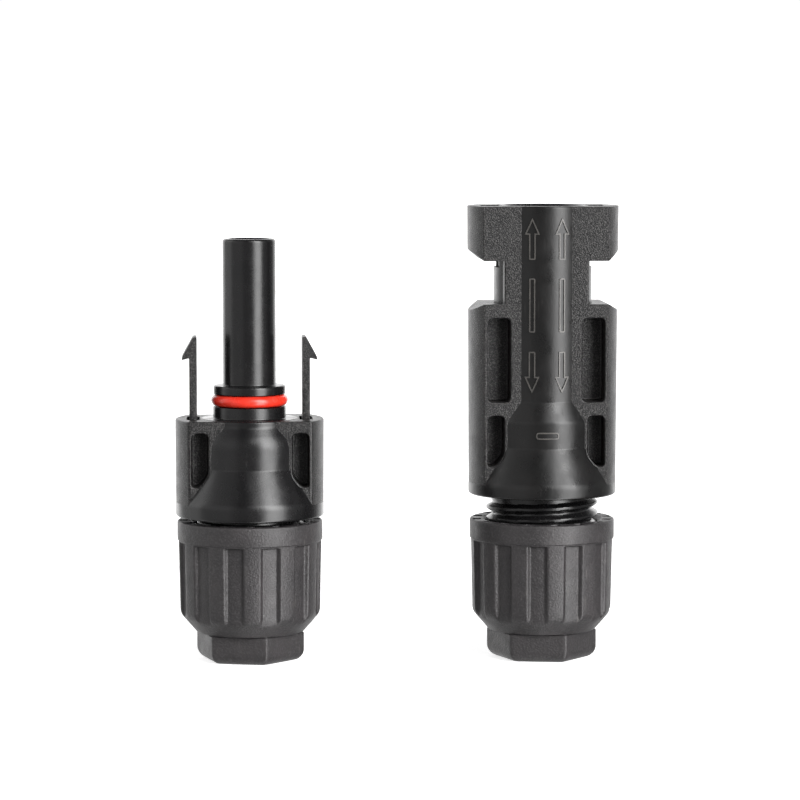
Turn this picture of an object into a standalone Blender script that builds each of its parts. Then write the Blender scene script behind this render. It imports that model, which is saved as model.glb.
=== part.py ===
"""Solar cable connector: a pin half and a socket half, standing side by side on their gland nuts.

Each half is a moulded housing with a crimp contact locked inside it, and a cable gland at its foot: a rubber
seal held in a slotted clamp claw, and a nut on a real helical thread. The socket half also has a sealing ring
on its neck and two snap latches, which hook into the side notches of the pin half.

Metres, +Z up. The origin is on the table, at the middle of the pair's box. X runs from the socket half to
the pin half, and each half's front faces -Y.
"""

import math

import bmesh
import bpy
from mathutils import Matrix, Vector

MM = 0.001

# ---------------------------------------------------------------- driving dimensions
PAIR_SPACING = 38.4 * MM  # between the two halves' axes

# Contacts
CONTACT_RADIUS = 2.0 * MM  # the 4 mm pin
PIN_FIT = 0.15 * MM  # pin to socket
BAND_GROOVE_DEPTH = 0.21 * MM
SOCKET_TUBE_WALL = 0.24 * MM  # behind the spring band
SOCKET_BORE_DEPTH = 14.0 * MM
CONTACT_COLLAR_STEP = 0.1 * MM
CONTACT_COLLAR_HEIGHT = 1.3 * MM
CONTACT_NECK_STEP = 0.15 * MM
CONTACT_NECK_HEIGHT = 4.4 * MM
BARREL_BORE_RADIUS = 1.65 * MM
BARREL_WALL = 0.8 * MM
BARREL_LENGTH = 6.5 * MM
BARREL_BORE_DEPTH = 8.5 * MM
BAND_LENGTH = 6.0 * MM
BAND_THICKNESS = 0.12 * MM
BAND_LIP = 1.6 * MM  # from the socket's mouth to the band
BAND_SLOTS = 8
CLIP_THICKNESS = 0.2 * MM
CLIP_LENGTH = 3.4 * MM
CLIP_ROOM = 0.27 * MM  # between its tabs and the chamber
CLIP_TABS = 4

# Where the contacts lock in the housings
LOCK_HEIGHT = 11.2 * MM  # from a housing's foot to the contact's stop
LOCK_POCKET_HEIGHT = 3.5 * MM
LOCK_THROAT_HEIGHT = 1.5 * MM
LOCK_THROAT_CLEARANCE = 0.15 * MM
CHAMBER_STEP = 0.45 * MM
FRONT_WALL = 2.7 * MM  # between the pin half's nose bore and its contact lock
SOCKET_FRONT_WALL = 1.6 * MM  # between the socket half's shoulder and its contact lock

# Nose, neck and sealing ring of the socket half
NOSE_LENGTH = 23.4 * MM  # from the shoulder to the nose's tip
NOSE_WALL = 0.8 * MM
NOSE_LIP = 0.9 * MM
NECK_STEP = 1.31 * MM
NECK_LIP_STEP = 0.06 * MM  # the flange above the ring is this much smaller
NECK_HEIGHT = 4.3 * MM
RING_WIRE_RADIUS = 0.75 * MM
RING_HEIGHT = 2.35 * MM  # of its middle above the shoulder
RING_SQUEEZE = 0.1 * MM  # radial, in the sleeve's mouth

# Sleeve of the pin half
NOSE_CLEARANCE = 0.26 * MM
NOSE_END_ROOM = 0.5 * MM
NECK_CLEARANCE = 0.15 * MM
SEAL_BORE_ROOM = 0.9 * MM  # its depth past the neck's height
SLEEVE_WALL = 1.48 * MM
PIN_TIP_DEPTH = 9.0 * MM  # how far the pin's tip stays below the mouth

# Snap latches, and the slots and notches that take them
LATCH_THICKNESS = 1.0 * MM
LATCH_WIDTH = 4.4 * MM
LATCH_PLAY = 0.6 * MM  # between the barb and the head that it hooks
LATCH_BARB_HEIGHT = 3.0 * MM
LATCH_BARB_OVERHANG = 0.95 * MM
LATCH_ROOT_DEPTH = 0.8 * MM
LATCH_PIVOT_DEPTH = 0.3 * MM
LATCH_GAP = 0.3 * MM  # round its foot
SLOT_CLEARANCE = 0.25 * MM
SLOT_WALL = 0.73 * MM
HEAD_HEIGHT = 7.1 * MM
NOTCH_ROOM = 2.6 * MM  # its height past the barb's
NOTCH_WALL = 1.78 * MM
NOTCH_CHAMFER = 1.5 * MM

# Bodies of the housings
FLAT_HALF = 5.5 * MM  # from the axis to each flat face
HEAD_WALL = 1.8 * MM  # outside the slots
BODY_DRAFT = 0.2 * MM
CORE_PROUD = 0.05 * MM  # the turned core stands this far out of the flat-sided body
MID_RADIUS = 7.45 * MM  # swelling round the contact lock
PIN_BAND = 1.6 * MM  # full round band at the housing's foot
PIN_CONE = 4.8 * MM
PIN_MID = 3.4 * MM
PIN_SHOULDER = 2.6 * MM
SOCKET_BAND = 1.9 * MM
SOCKET_CONE = 4.6 * MM
SOCKET_MID = 3.5 * MM
SOCKET_SHOULDER = 2.0 * MM

# Pockets in the flat faces
POCKET_DEPTH = 3.0 * MM
POCKET_ROUND = 0.6 * MM
POCKET_RIM = 0.4 * MM  # from a pocket to the edge of the flat, and to the swelling
POCKET_RIB_RIM = 1.4 * MM  # from an upper pocket to the sleeve
CROSS_BAR = 1.8 * MM
PIN_POCKET_TOP_BAR = 1.8 * MM
SOCKET_POCKET_TOP_BAR = 1.6 * MM

# Cable seal and clamp claw
CABLE_BORE_RADIUS = 3.34 * MM
SEAL_WALL = 1.05 * MM
SEAL_HEAD_HEIGHT = 1.1 * MM
SEAL_HEAD_ROOM = 0.78 * MM  # above it, in the socket half's spigot
SEAL_GROOVE = 0.25 * MM
SEAL_RIBS = 3
CLAW_WALL = 0.8 * MM
CLAW_RING_CLEARANCE = 0.3 * MM
CLAW_RING_HEIGHT = 2.0 * MM
CLAW_TOP_DROP = 5.04 * MM  # below the nut's top
CLAW_SLOTS = 8
CLAW_SLOT_WIDTH = 0.9 * MM

# Thread and spigot
THREAD_PITCH = 1.5 * MM
THREAD_DEPTH = 0.513 * THREAD_PITCH
THREAD_CREST_FLAT = 0.233 * THREAD_PITCH
THREAD_FLANK = math.radians(30)
THREAD_EMBED = 0.15 * MM
THREAD_CLEARANCE = 0.15 * MM  # radial, crest to root
THREAD_SIDE_CLEARANCE = 0.12 * MM  # along the axis, on each flank
SPIGOT_WALL = 1.0 * MM
SPIGOT_CLAW_GAP = 0.3 * MM
SPIGOT_RUNOUT = 0.8 * MM
SPIGOT_TIP = 0.4 * MM
SPIGOT_END_ROOM = 1.6 * MM  # above the nut's waist, with the nut tight

# Gland nut
NUT_HEIGHT = 18.4 * MM
NUT_WALL = 1.88 * MM
NUT_DRAFT = 0.2 * MM
NUT_COLLAR_STEP = 0.15 * MM
NUT_COLLAR_HEIGHT = 2.5 * MM
NUT_CABLE_HOLE_RADIUS = 4.2 * MM
NUT_HEX_WALL = 2.1 * MM  # from the cable hole to a flat
NUT_HEX_CORNER_STEP = 0.96 * MM  # from a flat to the rounded corner
NUT_HEX_HEIGHT = 3.75 * MM
NUT_CONE_HEIGHT = 2.45 * MM
NUT_FOOT_CHAMFER = 0.8 * MM
NUT_SHOULDER_RISE = 1.05 * MM  # from the hexagon to where the claw sits
NUT_WAIST_RISE = 1.5 * MM  # from the claw's ring to the wide bore
NUT_FLUTES = 12
NUT_FLUTE_DEPTH = 0.55 * MM
NUT_RATCHETS = 16
NUT_RATCHET_SIZE = 1.1 * MM
NUT_RATCHET_DEPTH = 0.5 * MM
NUT_THREAD_DROP = 5.8 * MM  # from the nut's top to the thread's start
NUT_THREAD_TURNS = 3
PIN_NUT_GAP = 3.3 * MM  # nut to housing, as it stands
SOCKET_NUT_GAP = 0.6 * MM
PIN_NUT_TURN = math.radians(51.0)  # of a hexagon corner from +X
SOCKET_NUT_TURN = math.radians(46.0)

SEAT_GAP = 0.06 * MM  # between pieces that touch
PAST = 1.0 * MM  # how far a cutter runs past the face it opens

ROUND_STEPS = 40  # sides of the housings
BORE_STEPS = 24  # sides of bores, nuts and small turned pieces
THREAD_STEPS = 20  # sides of one turn of thread
RING_WIRE_STEPS = 8

PLASTIC = "black_housing_plastic"
NUT_PLASTIC = "grey_nut_plastic"
RED_SILICONE = "red_silicone"
GREY_RUBBER = "grey_seal_rubber"
TINNED = "tinned_copper"
SPRING = "spring_steel"
MATERIALS = {
    PLASTIC: ((0.012, 0.012, 0.013, 1), 0.38, 0.0),
    NUT_PLASTIC: ((0.07, 0.07, 0.072, 1), 0.62, 0.0),
    RED_SILICONE: ((0.75, 0.035, 0.02, 1), 0.3, 0.0),
    GREY_RUBBER: ((0.05, 0.05, 0.05, 1), 0.8, 0.0),
    TINNED: ((0.72, 0.71, 0.68, 1), 0.3, 1.0),
    SPRING: ((0.6, 0.6, 0.62, 1), 0.35, 1.0),
}

# ---------------------------------------------------------------- sizes that follow, from the contact out
SOCKET_MOUTH_RADIUS = CONTACT_RADIUS + PIN_FIT
BAND_GROOVE_RADIUS = SOCKET_MOUTH_RADIUS + BAND_GROOVE_DEPTH
SOCKET_TUBE_RADIUS = BAND_GROOVE_RADIUS + SOCKET_TUBE_WALL
BARREL_RADIUS = BARREL_BORE_RADIUS + BARREL_WALL
CONTACT_NECK_RADIUS = CONTACT_RADIUS + CONTACT_NECK_STEP
CONTACT_COLLAR_RADIUS = max(SOCKET_TUBE_RADIUS, BARREL_RADIUS) + CONTACT_COLLAR_STEP
LOCK_THROAT_RADIUS = CONTACT_COLLAR_RADIUS + LOCK_THROAT_CLEARANCE
CHAMBER_RADIUS = LOCK_THROAT_RADIUS + CHAMBER_STEP
NOSE_INNER_RADIUS = SOCKET_TUBE_RADIUS + SEAT_GAP
NOSE_RADIUS = NOSE_INNER_RADIUS + NOSE_WALL
NOSE_BORE_RADIUS = NOSE_RADIUS + NOSE_CLEARANCE
NECK_RADIUS = NOSE_RADIUS + NECK_STEP
NECK_LIP_RADIUS = NECK_RADIUS - NECK_LIP_STEP
SEAL_BORE_RADIUS = NECK_RADIUS + NECK_CLEARANCE
SEAL_BORE_DEPTH = NECK_HEIGHT + SEAL_BORE_ROOM
RING_OUTER_RADIUS = SEAL_BORE_RADIUS + RING_SQUEEZE
RING_GROOVE_RADIUS = RING_OUTER_RADIUS - 2 * RING_WIRE_RADIUS - SEAT_GAP
SLEEVE_RADIUS = SEAL_BORE_RADIUS + SLEEVE_WALL
SLOT_INNER = SEAL_BORE_RADIUS + SLOT_WALL
LATCH_INNER = SLOT_INNER + SLOT_CLEARANCE + LATCH_BARB_OVERHANG
SLOT_OUTER = LATCH_INNER + LATCH_THICKNESS + SLOT_CLEARANCE
LATCH_REACH = HEAD_HEIGHT + LATCH_PLAY
NOTCH_HEIGHT = LATCH_BARB_HEIGHT + NOTCH_ROOM
NOTCH_INNER = NOSE_BORE_RADIUS + NOTCH_WALL
HEAD_RADIUS = SLOT_OUTER + HEAD_WALL
BODY_RADIUS = HEAD_RADIUS - BODY_DRAFT

# The gland, from the cable outwards
SEAL_RADIUS = CABLE_BORE_RADIUS + SEAL_WALL
CLAW_FINGER_BORE = SEAL_RADIUS + SEAT_GAP
CLAW_FINGER_RADIUS = CLAW_FINGER_BORE + CLAW_WALL
SPIGOT_BORE_RADIUS = CLAW_FINGER_RADIUS + SPIGOT_CLAW_GAP
THREAD_ROOT_RADIUS = SPIGOT_BORE_RADIUS + SPIGOT_WALL
THREAD_CREST_RADIUS = THREAD_ROOT_RADIUS + THREAD_DEPTH
CLAW_RING_RADIUS = THREAD_ROOT_RADIUS - CLAW_RING_CLEARANCE
NUT_BORE_RADIUS = THREAD_CREST_RADIUS + THREAD_CLEARANCE
NUT_BODY_RADIUS = NUT_BORE_RADIUS + NUT_WALL
NUT_COLLAR_RADIUS = NUT_BODY_RADIUS + NUT_COLLAR_STEP
NUT_HEX_HALF = NUT_CABLE_HOLE_RADIUS + NUT_HEX_WALL
NUT_HEX_CORNER_RADIUS = NUT_HEX_HALF + NUT_HEX_CORNER_STEP

# Heights above the table
NUT_SHOULDER_HEIGHT = NUT_HEX_HEIGHT + NUT_SHOULDER_RISE
NUT_WAIST_HEIGHT = NUT_SHOULDER_HEIGHT + CLAW_RING_HEIGHT + NUT_WAIST_RISE
NUT_THREAD_START = NUT_HEIGHT - NUT_THREAD_DROP
CLAW_RING_BOTTOM = NUT_SHOULDER_HEIGHT + SEAT_GAP
CLAW_RING_TOP = CLAW_RING_BOTTOM + CLAW_RING_HEIGHT
CLAW_TOP = NUT_HEIGHT - CLAW_TOP_DROP
SPIGOT_LENGTH = NUT_HEIGHT - NUT_WAIST_HEIGHT - SPIGOT_END_ROOM
PIN_FOOT = NUT_HEIGHT + PIN_NUT_GAP
SOCKET_FOOT = NUT_HEIGHT + SOCKET_NUT_GAP
SEAL_HEAD_TOP = CLAW_TOP + SEAT_GAP + SEAL_HEAD_HEIGHT
SPIGOT_BORE_DEPTH = SEAL_HEAD_TOP + SEAL_HEAD_ROOM - (SOCKET_FOOT - SPIGOT_LENGTH)
PIN_CONTACT_STOP = PIN_FOOT + LOCK_HEIGHT
SOCKET_CONTACT_STOP = SOCKET_FOOT + LOCK_HEIGHT
NOSE_BORE_FLOOR = PIN_CONTACT_STOP + FRONT_WALL
PIN_TOP = NOSE_BORE_FLOOR + NOSE_END_ROOM + NOSE_LENGTH
SOCKET_TOP = SOCKET_CONTACT_STOP + SOCKET_FRONT_WALL
SOCKET_NOSE_TIP = SOCKET_TOP + NOSE_LENGTH

# The halves' axes, either side of the middle of the pair's box
PIN_X = (PAIR_SPACING + BODY_RADIUS - HEAD_RADIUS) / 2
SOCKET_X = PIN_X - PAIR_SPACING


# ---------------------------------------------------------------- scene, materials and placing
def clear_scene():
    for obj in list(bpy.data.objects):
        bpy.data.objects.remove(obj, do_unlink=True)


def make_collection(name):
    collection = bpy.data.collections.new(name)
    bpy.context.scene.collection.children.link(collection)
    return collection


def make_material(name, colour, roughness, metallic):
    material = bpy.data.materials.new(name)
    material.use_nodes = True
    shader = material.node_tree.nodes["Principled BSDF"]
    shader.inputs["Base Color"].default_value = colour
    shader.inputs["Roughness"].default_value = roughness
    shader.inputs["Metallic"].default_value = metallic
    return material


def make_empty(name, location):
    empty = bpy.data.objects.new(name, None)
    empty.location = location
    parts.objects.link(empty)
    return empty


def helper(obj):
    """Keeps obj out of the build: it only shapes other objects."""
    cutters.objects.link(obj)
    obj.hide_render = True
    obj.display_type = "WIRE"
    return obj


def as_part(name, mesh, material, parent, location=(0, 0, 0), turn=0.0):
    obj = bpy.data.objects.new(name, mesh)
    parts.objects.link(obj)
    obj.data.materials.clear()
    obj.data.materials.append(materials[material])
    obj.parent = parent
    obj.location = location
    obj.rotation_euler = (0, 0, turn)
    return obj


def evaluated_mesh(obj, smooth_angle=math.radians(35)):
    """The shape of a helper with its modifiers, as a mesh of its own."""
    bpy.context.view_layer.update()
    graph = bpy.context.evaluated_depsgraph_get()
    mesh = bpy.data.meshes.new_from_object(obj.evaluated_get(graph))
    mesh.transform(obj.matrix_world)
    mesh.shade_smooth()
    mesh.set_sharp_from_angle(angle=smooth_angle)
    return mesh


# ---------------------------------------------------------------- shapes
def turned(name, profile, steps):
    """A shape turned about Z. The profile's (radius, height) points run down its outer side.

    A profile that keeps off the axis is closed into a ring.
    """
    mesh = bpy.data.meshes.new(name)
    points = [(radius, 0, height) for radius, height in profile]
    edges = [(i, i + 1) for i in range(len(points) - 1)]
    if profile[0][0] > 0:
        edges.append((len(points) - 1, 0))
    mesh.from_pydata(points, edges, [])
    obj = helper(bpy.data.objects.new(name, mesh))
    screw = obj.modifiers.new("turn", "SCREW")
    screw.axis = "Z"
    screw.angle = 2 * math.pi
    screw.steps = screw.render_steps = steps
    screw.use_merge_vertices = True
    screw.merge_threshold = 1e-6
    return obj


def block(name, low, high, round_radius=0.0, round_axis="Y", round_steps=2):
    """A box between two corners, with the four edges along one axis rounded."""
    low, high = Vector(low), Vector(high)
    shape = bmesh.new()
    bmesh.ops.create_cube(shape, size=1)
    size = Matrix.Diagonal((*(high - low), 1))
    bmesh.ops.transform(shape, matrix=Matrix.Translation((low + high) / 2) @ size, verts=shape.verts)
    if round_radius:
        axis = "XYZ".index(round_axis)
        edges = [e for e in shape.edges if abs(e.verts[0].co[axis] - e.verts[1].co[axis]) > 1e-7]
        bmesh.ops.bevel(
            shape, geom=edges, offset=round_radius, segments=round_steps, affect="EDGES", profile=0.5
        )
    mesh = bpy.data.meshes.new(name)
    shape.to_mesh(mesh)
    shape.free()
    return helper(bpy.data.objects.new(name, mesh))


def side_prism(name, outline, half_depth):
    """An outline of (x, z) points, pushed out to both sides along Y."""
    shape = bmesh.new()
    corners = [shape.verts.new((x, -half_depth, z)) for x, z in outline]
    face = shape.faces.new(corners)
    pushed = bmesh.ops.extrude_face_region(shape, geom=[face])
    moved = [v for v in pushed["geom"] if isinstance(v, bmesh.types.BMVert)]
    bmesh.ops.translate(shape, verts=moved, vec=(0, 2 * half_depth, 0))
    bmesh.ops.recalc_face_normals(shape, faces=shape.faces)
    mesh = bpy.data.meshes.new(name)
    shape.to_mesh(mesh)
    shape.free()
    return helper(bpy.data.objects.new(name, mesh))


def helix(name, profile, start_height, start_angle, turns):
    """A right-hand helical ridge: a closed (radius, height) profile carried up round Z."""
    steps = round(turns * THREAD_STEPS)
    shape = bmesh.new()
    corners = [shape.verts.new((radius, 0, start_height + height)) for radius, height in profile]
    face = shape.faces.new(corners)
    bmesh.ops.rotate(
        shape, cent=(0, 0, 0), matrix=Matrix.Rotation(start_angle, 3, "Z"), verts=shape.verts
    )
    bmesh.ops.spin(
        shape,
        geom=[face],
        cent=(0, 0, 0),
        axis=(0, 0, 1),
        dvec=(0, 0, THREAD_PITCH / THREAD_STEPS),
        angle=steps * 2 * math.pi / THREAD_STEPS,
        steps=steps,
    )
    bmesh.ops.recalc_face_normals(shape, faces=shape.faces)
    mesh = bpy.data.meshes.new(name)
    shape.to_mesh(mesh)
    shape.free()
    return helper(bpy.data.objects.new(name, mesh))


def boolean(obj, other, operation):
    modifier = obj.modifiers.new(operation.lower() + "_" + other.name, "BOOLEAN")
    modifier.operation = operation
    modifier.object = other
    modifier.solver = "EXACT"
    return obj


def joined(obj, *others):
    for other in others:
        boolean(obj, other, "UNION")
    return obj


def cut(obj, *others):
    for other in others:
        boolean(obj, other, "DIFFERENCE")
    return obj


# ---------------------------------------------------------------- thread
def tooth_half_width(radius):
    """Half the thickness of the outer thread's tooth at a radius."""
    return THREAD_CREST_FLAT / 2 + (THREAD_CREST_RADIUS - radius) * math.tan(THREAD_FLANK)


def outer_tooth():
    base = THREAD_ROOT_RADIUS - THREAD_EMBED
    wide, narrow = tooth_half_width(base), tooth_half_width(THREAD_CREST_RADIUS)
    return [(base, -wide), (THREAD_CREST_RADIUS, -narrow), (THREAD_CREST_RADIUS, narrow), (base, wide)]


def inner_tooth():
    """What fills the outer thread's groove, less its clearances."""

    def half_width(radius):
        return THREAD_PITCH / 2 - tooth_half_width(radius) - THREAD_SIDE_CLEARANCE

    crest = THREAD_ROOT_RADIUS + THREAD_CLEARANCE
    base = NUT_BORE_RADIUS + THREAD_EMBED
    wide, narrow = half_width(base), half_width(crest)
    return [(crest, -narrow), (base, -wide), (base, wide), (crest, narrow)]


def thread_start_angle(start_height, nut_turn):
    """Where the housing's thread starts, so that the nut's thread lies in its groove as the nut stands."""
    rise = start_height - NUT_THREAD_START - THREAD_PITCH / 2
    return nut_turn + 2 * math.pi * rise / THREAD_PITCH


def housing_thread(name, foot, nut_turn):
    start = foot - SPIGOT_LENGTH + SPIGOT_TIP + THREAD_CREST_FLAT
    turns = (SPIGOT_LENGTH - SPIGOT_TIP - SPIGOT_RUNOUT) / THREAD_PITCH
    return helix(name, outer_tooth(), start, thread_start_angle(start, nut_turn), turns)


# ---------------------------------------------------------------- housings
def spigot_profile(foot):
    """The threaded spigot's outer side, from the housing's foot down to the axis."""
    end = foot - SPIGOT_LENGTH
    return [
        (THREAD_ROOT_RADIUS, foot),
        (THREAD_ROOT_RADIUS, end + SPIGOT_TIP),
        (THREAD_ROOT_RADIUS - SPIGOT_TIP / 2, end),
        (0, end),
    ]


def lock_profile(foot, stop):
    """The inside of a housing, from the contact's stop down and out through the spigot."""
    throat_top = stop - LOCK_POCKET_HEIGHT
    bore_top = foot - SPIGOT_LENGTH + SPIGOT_BORE_DEPTH
    return [
        (CHAMBER_RADIUS, stop),
        (CHAMBER_RADIUS, throat_top),
        (LOCK_THROAT_RADIUS, throat_top),
        (LOCK_THROAT_RADIUS, throat_top - LOCK_THROAT_HEIGHT),
        (CHAMBER_RADIUS, throat_top - LOCK_THROAT_HEIGHT),
        (CHAMBER_RADIUS, bore_top + PAST),
        (SPIGOT_BORE_RADIUS, bore_top),
        (SPIGOT_BORE_RADIUS, foot - SPIGOT_LENGTH - PAST),
        (0, foot - SPIGOT_LENGTH - PAST),
    ]


def wings(name, bottom, top, top_radius):
    """The housing's round sides with their two flat faces."""
    foot_radius = BODY_RADIUS - CORE_PROUD
    outline = [(0, top), (top_radius, top), (foot_radius, bottom), (0, bottom)]
    round_body = turned(name + "_round", outline, ROUND_STEPS)
    reach = HEAD_RADIUS + PAST
    slab = block(name + "_slab", (-reach, -FLAT_HALF, bottom - PAST), (reach, FLAT_HALF, top + PAST))
    return boolean(round_body, slab, "INTERSECT")


def flat_edge(radius):
    """How far from the axis a round side of this radius meets a flat face."""
    return math.sqrt(radius**2 - FLAT_HALF**2)


def pocket(name, side, front, inner, bottom, top):
    """One cored-out pocket, on the left (-1) or right (1), in the front (-1) or back (1) face."""
    xs = sorted((side * inner, side * (flat_edge(BODY_RADIUS) - POCKET_RIM)))
    ys = sorted((front * (FLAT_HALF - POCKET_DEPTH), front * (FLAT_HALF + PAST)))
    return block(name, (xs[0], ys[0], bottom), (xs[1], ys[1], top), POCKET_ROUND)


def pin_housing_mesh():
    band_top = PIN_FOOT + PIN_BAND
    cone_top = band_top + PIN_CONE
    mid_top = cone_top + PIN_MID
    shoulder_top = mid_top + PIN_SHOULDER
    body = turned(
        "pin_core",
        [
            (0, PIN_TOP),
            (SLEEVE_RADIUS, PIN_TOP),
            (SLEEVE_RADIUS, shoulder_top),
            (MID_RADIUS, mid_top),
            (MID_RADIUS, cone_top),
            (BODY_RADIUS, band_top),
            (BODY_RADIUS, PIN_FOOT),
            *spigot_profile(PIN_FOOT),
        ],
        ROUND_STEPS,
    )
    top = PIN_TOP - CORE_PROUD
    joined(body, wings("pin_wings", band_top - PIN_BAND / 2, top, HEAD_RADIUS))
    joined(body, housing_thread("pin_thread", PIN_FOOT, PIN_NUT_TURN))

    mouth = 0.4 * MM
    step = PIN_TOP - SEAL_BORE_DEPTH
    bore = turned(
        "pin_bore",
        [
            (0, PIN_TOP + PAST),
            (SEAL_BORE_RADIUS + mouth, PIN_TOP + PAST),
            (SEAL_BORE_RADIUS + mouth, PIN_TOP),
            (SEAL_BORE_RADIUS, PIN_TOP - mouth),
            (SEAL_BORE_RADIUS, step),
            (NOSE_BORE_RADIUS, step - (SEAL_BORE_RADIUS - NOSE_BORE_RADIUS) / 2),
            (NOSE_BORE_RADIUS, NOSE_BORE_FLOOR),
            (CONTACT_RADIUS + SLOT_CLEARANCE, NOSE_BORE_FLOOR),
            (CONTACT_RADIUS + SLOT_CLEARANCE, PIN_CONTACT_STOP),
            *lock_profile(PIN_FOOT, PIN_CONTACT_STOP),
        ],
        BORE_STEPS,
    )
    cut(body, bore)

    notch_top = PIN_TOP - HEAD_HEIGHT
    notch_bottom = notch_top - NOTCH_HEIGHT
    slope = HEAD_RADIUS + NOTCH_CHAMFER / 2
    pocket_top = notch_bottom - PIN_POCKET_TOP_BAR
    for side, word in ((-1, "left"), (1, "right")):
        outline = [
            (side * NOTCH_INNER, notch_bottom),
            (side * SLOT_OUTER, notch_bottom),
            (side * slope, notch_bottom - NOTCH_CHAMFER),
            (side * slope, notch_top + NOTCH_CHAMFER),
            (side * SLOT_OUTER, notch_top),
            (side * NOTCH_INNER, notch_top),
        ]
        slot_x = sorted((side * SLOT_INNER, side * SLOT_OUTER))
        slot_y = LATCH_WIDTH / 2 + SLOT_CLEARANCE
        cut(
            body,
            side_prism(f"pin_notch_{word}", outline, FLAT_HALF + 2 * PAST),
            block(
                f"pin_slot_{word}",
                (slot_x[0], -slot_y, notch_top - PAST),
                (slot_x[1], slot_y, PIN_TOP + PAST),
            ),
        )
        for front, face in ((-1, "front"), (1, "back")):
            cut(
                body,
                pocket(
                    f"pin_pocket_{word}_{face}",
                    side,
                    front,
                    flat_edge(SLEEVE_RADIUS) + POCKET_RIB_RIM,
                    shoulder_top,
                    pocket_top,
                ),
                pocket(
                    f"pin_low_pocket_{word}_{face}",
                    side,
                    front,
                    flat_edge(MID_RADIUS) + POCKET_RIM,
                    band_top + PIN_CONE / 2,
                    shoulder_top - CROSS_BAR,
                ),
            )
    return evaluated_mesh(body)


def socket_housing_mesh():
    band_top = SOCKET_FOOT + SOCKET_BAND
    cone_top = band_top + SOCKET_CONE
    mid_top = cone_top + SOCKET_MID
    shoulder_top = mid_top + SOCKET_SHOULDER
    neck_top = SOCKET_TOP + NECK_HEIGHT
    tip = 0.35 * MM
    body = turned(
        "socket_core",
        [
            (0, SOCKET_NOSE_TIP),
            (NOSE_RADIUS - tip, SOCKET_NOSE_TIP),
            (NOSE_RADIUS, SOCKET_NOSE_TIP - tip),
            (NOSE_RADIUS, neck_top),
            (NECK_LIP_RADIUS, neck_top),
            (NECK_LIP_RADIUS, SOCKET_TOP + RING_HEIGHT + RING_WIRE_RADIUS + SEAT_GAP),
            (RING_GROOVE_RADIUS, SOCKET_TOP + RING_HEIGHT + RING_WIRE_RADIUS + SEAT_GAP),
            (RING_GROOVE_RADIUS, SOCKET_TOP + RING_HEIGHT - RING_WIRE_RADIUS - SEAT_GAP),
            (NECK_RADIUS, SOCKET_TOP + RING_HEIGHT - RING_WIRE_RADIUS - SEAT_GAP),
            (NECK_RADIUS, SOCKET_TOP),
            (SLEEVE_RADIUS, SOCKET_TOP),
            (SLEEVE_RADIUS, shoulder_top),
            (MID_RADIUS, mid_top),
            (MID_RADIUS, cone_top),
            (BODY_RADIUS, band_top),
            (BODY_RADIUS, SOCKET_FOOT),
            *spigot_profile(SOCKET_FOOT),
        ],
        ROUND_STEPS,
    )
    top = SOCKET_TOP - CORE_PROUD
    joined(body, wings("socket_wings", band_top - SOCKET_BAND / 2, top, BODY_RADIUS))
    joined(body, housing_thread("socket_thread", SOCKET_FOOT, SOCKET_NUT_TURN))

    funnel = 0.5 * MM
    bore = turned(
        "socket_bore",
        [
            (0, SOCKET_NOSE_TIP + PAST),
            (SOCKET_MOUTH_RADIUS + funnel, SOCKET_NOSE_TIP + PAST),
            (SOCKET_MOUTH_RADIUS + funnel, SOCKET_NOSE_TIP),
            (SOCKET_MOUTH_RADIUS, SOCKET_NOSE_TIP - funnel),
            (SOCKET_MOUTH_RADIUS, SOCKET_NOSE_TIP - NOSE_LIP),
            (NOSE_INNER_RADIUS, SOCKET_NOSE_TIP - NOSE_LIP),
            (NOSE_INNER_RADIUS, SOCKET_CONTACT_STOP),
            *lock_profile(SOCKET_FOOT, SOCKET_CONTACT_STOP),
        ],
        BORE_STEPS,
    )
    cut(body, bore)

    pocket_top = SOCKET_TOP - SOCKET_POCKET_TOP_BAR
    for side, word in ((-1, "left"), (1, "right")):
        root_outer = LATCH_INNER + LATCH_THICKNESS + LATCH_GAP
        root_x = sorted((side * (LATCH_INNER - LATCH_GAP), side * root_outer))
        root_y = LATCH_WIDTH / 2 + LATCH_GAP
        root_z = SOCKET_TOP - LATCH_ROOT_DEPTH - LATCH_GAP
        cut(
            body,
            block(f"latch_seat_{word}", (root_x[0], -root_y, root_z), (root_x[1], root_y, SOCKET_TOP + PAST)),
        )
        for front, face in ((-1, "front"), (1, "back")):
            cut(
                body,
                pocket(
                    f"socket_pocket_{word}_{face}",
                    side,
                    front,
                    flat_edge(MID_RADIUS) + POCKET_RIM,
                    band_top + SOCKET_CONE / 2,
                    pocket_top,
                ),
            )
    return evaluated_mesh(body)


# ---------------------------------------------------------------- latches and sealing ring
def latch_mesh(side):
    """A snap latch about its flexing line: a thin arm with a barb that points outwards."""
    root = LATCH_PIVOT_DEPTH - LATCH_ROOT_DEPTH
    barb = LATCH_PIVOT_DEPTH + LATCH_REACH
    apex = barb + LATCH_BARB_HEIGHT
    outer = LATCH_THICKNESS
    undercut = 0.25 * MM
    outline = [
        (0, root),
        (outer, root),
        (outer, barb + undercut),
        (outer + LATCH_BARB_OVERHANG, barb),
        (outer + LATCH_BARB_OVERHANG, barb + undercut),
        (outer * 0.45, apex),
        (outer * 0.1, apex),
        (0, apex - undercut),
    ]
    prism = side_prism("latch_outline", [(side * x, z) for x, z in outline], LATCH_WIDTH / 2)
    return evaluated_mesh(prism)


def ring_mesh():
    """The sealing ring, about its own middle."""
    bpy.ops.mesh.primitive_torus_add(
        major_radius=RING_OUTER_RADIUS - RING_WIRE_RADIUS,
        minor_radius=RING_WIRE_RADIUS,
        major_segments=ROUND_STEPS,
        minor_segments=RING_WIRE_STEPS,
    )
    torus = bpy.context.active_object
    mesh = torus.data.copy()
    bpy.data.objects.remove(torus)
    mesh.shade_smooth()
    return mesh


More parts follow.
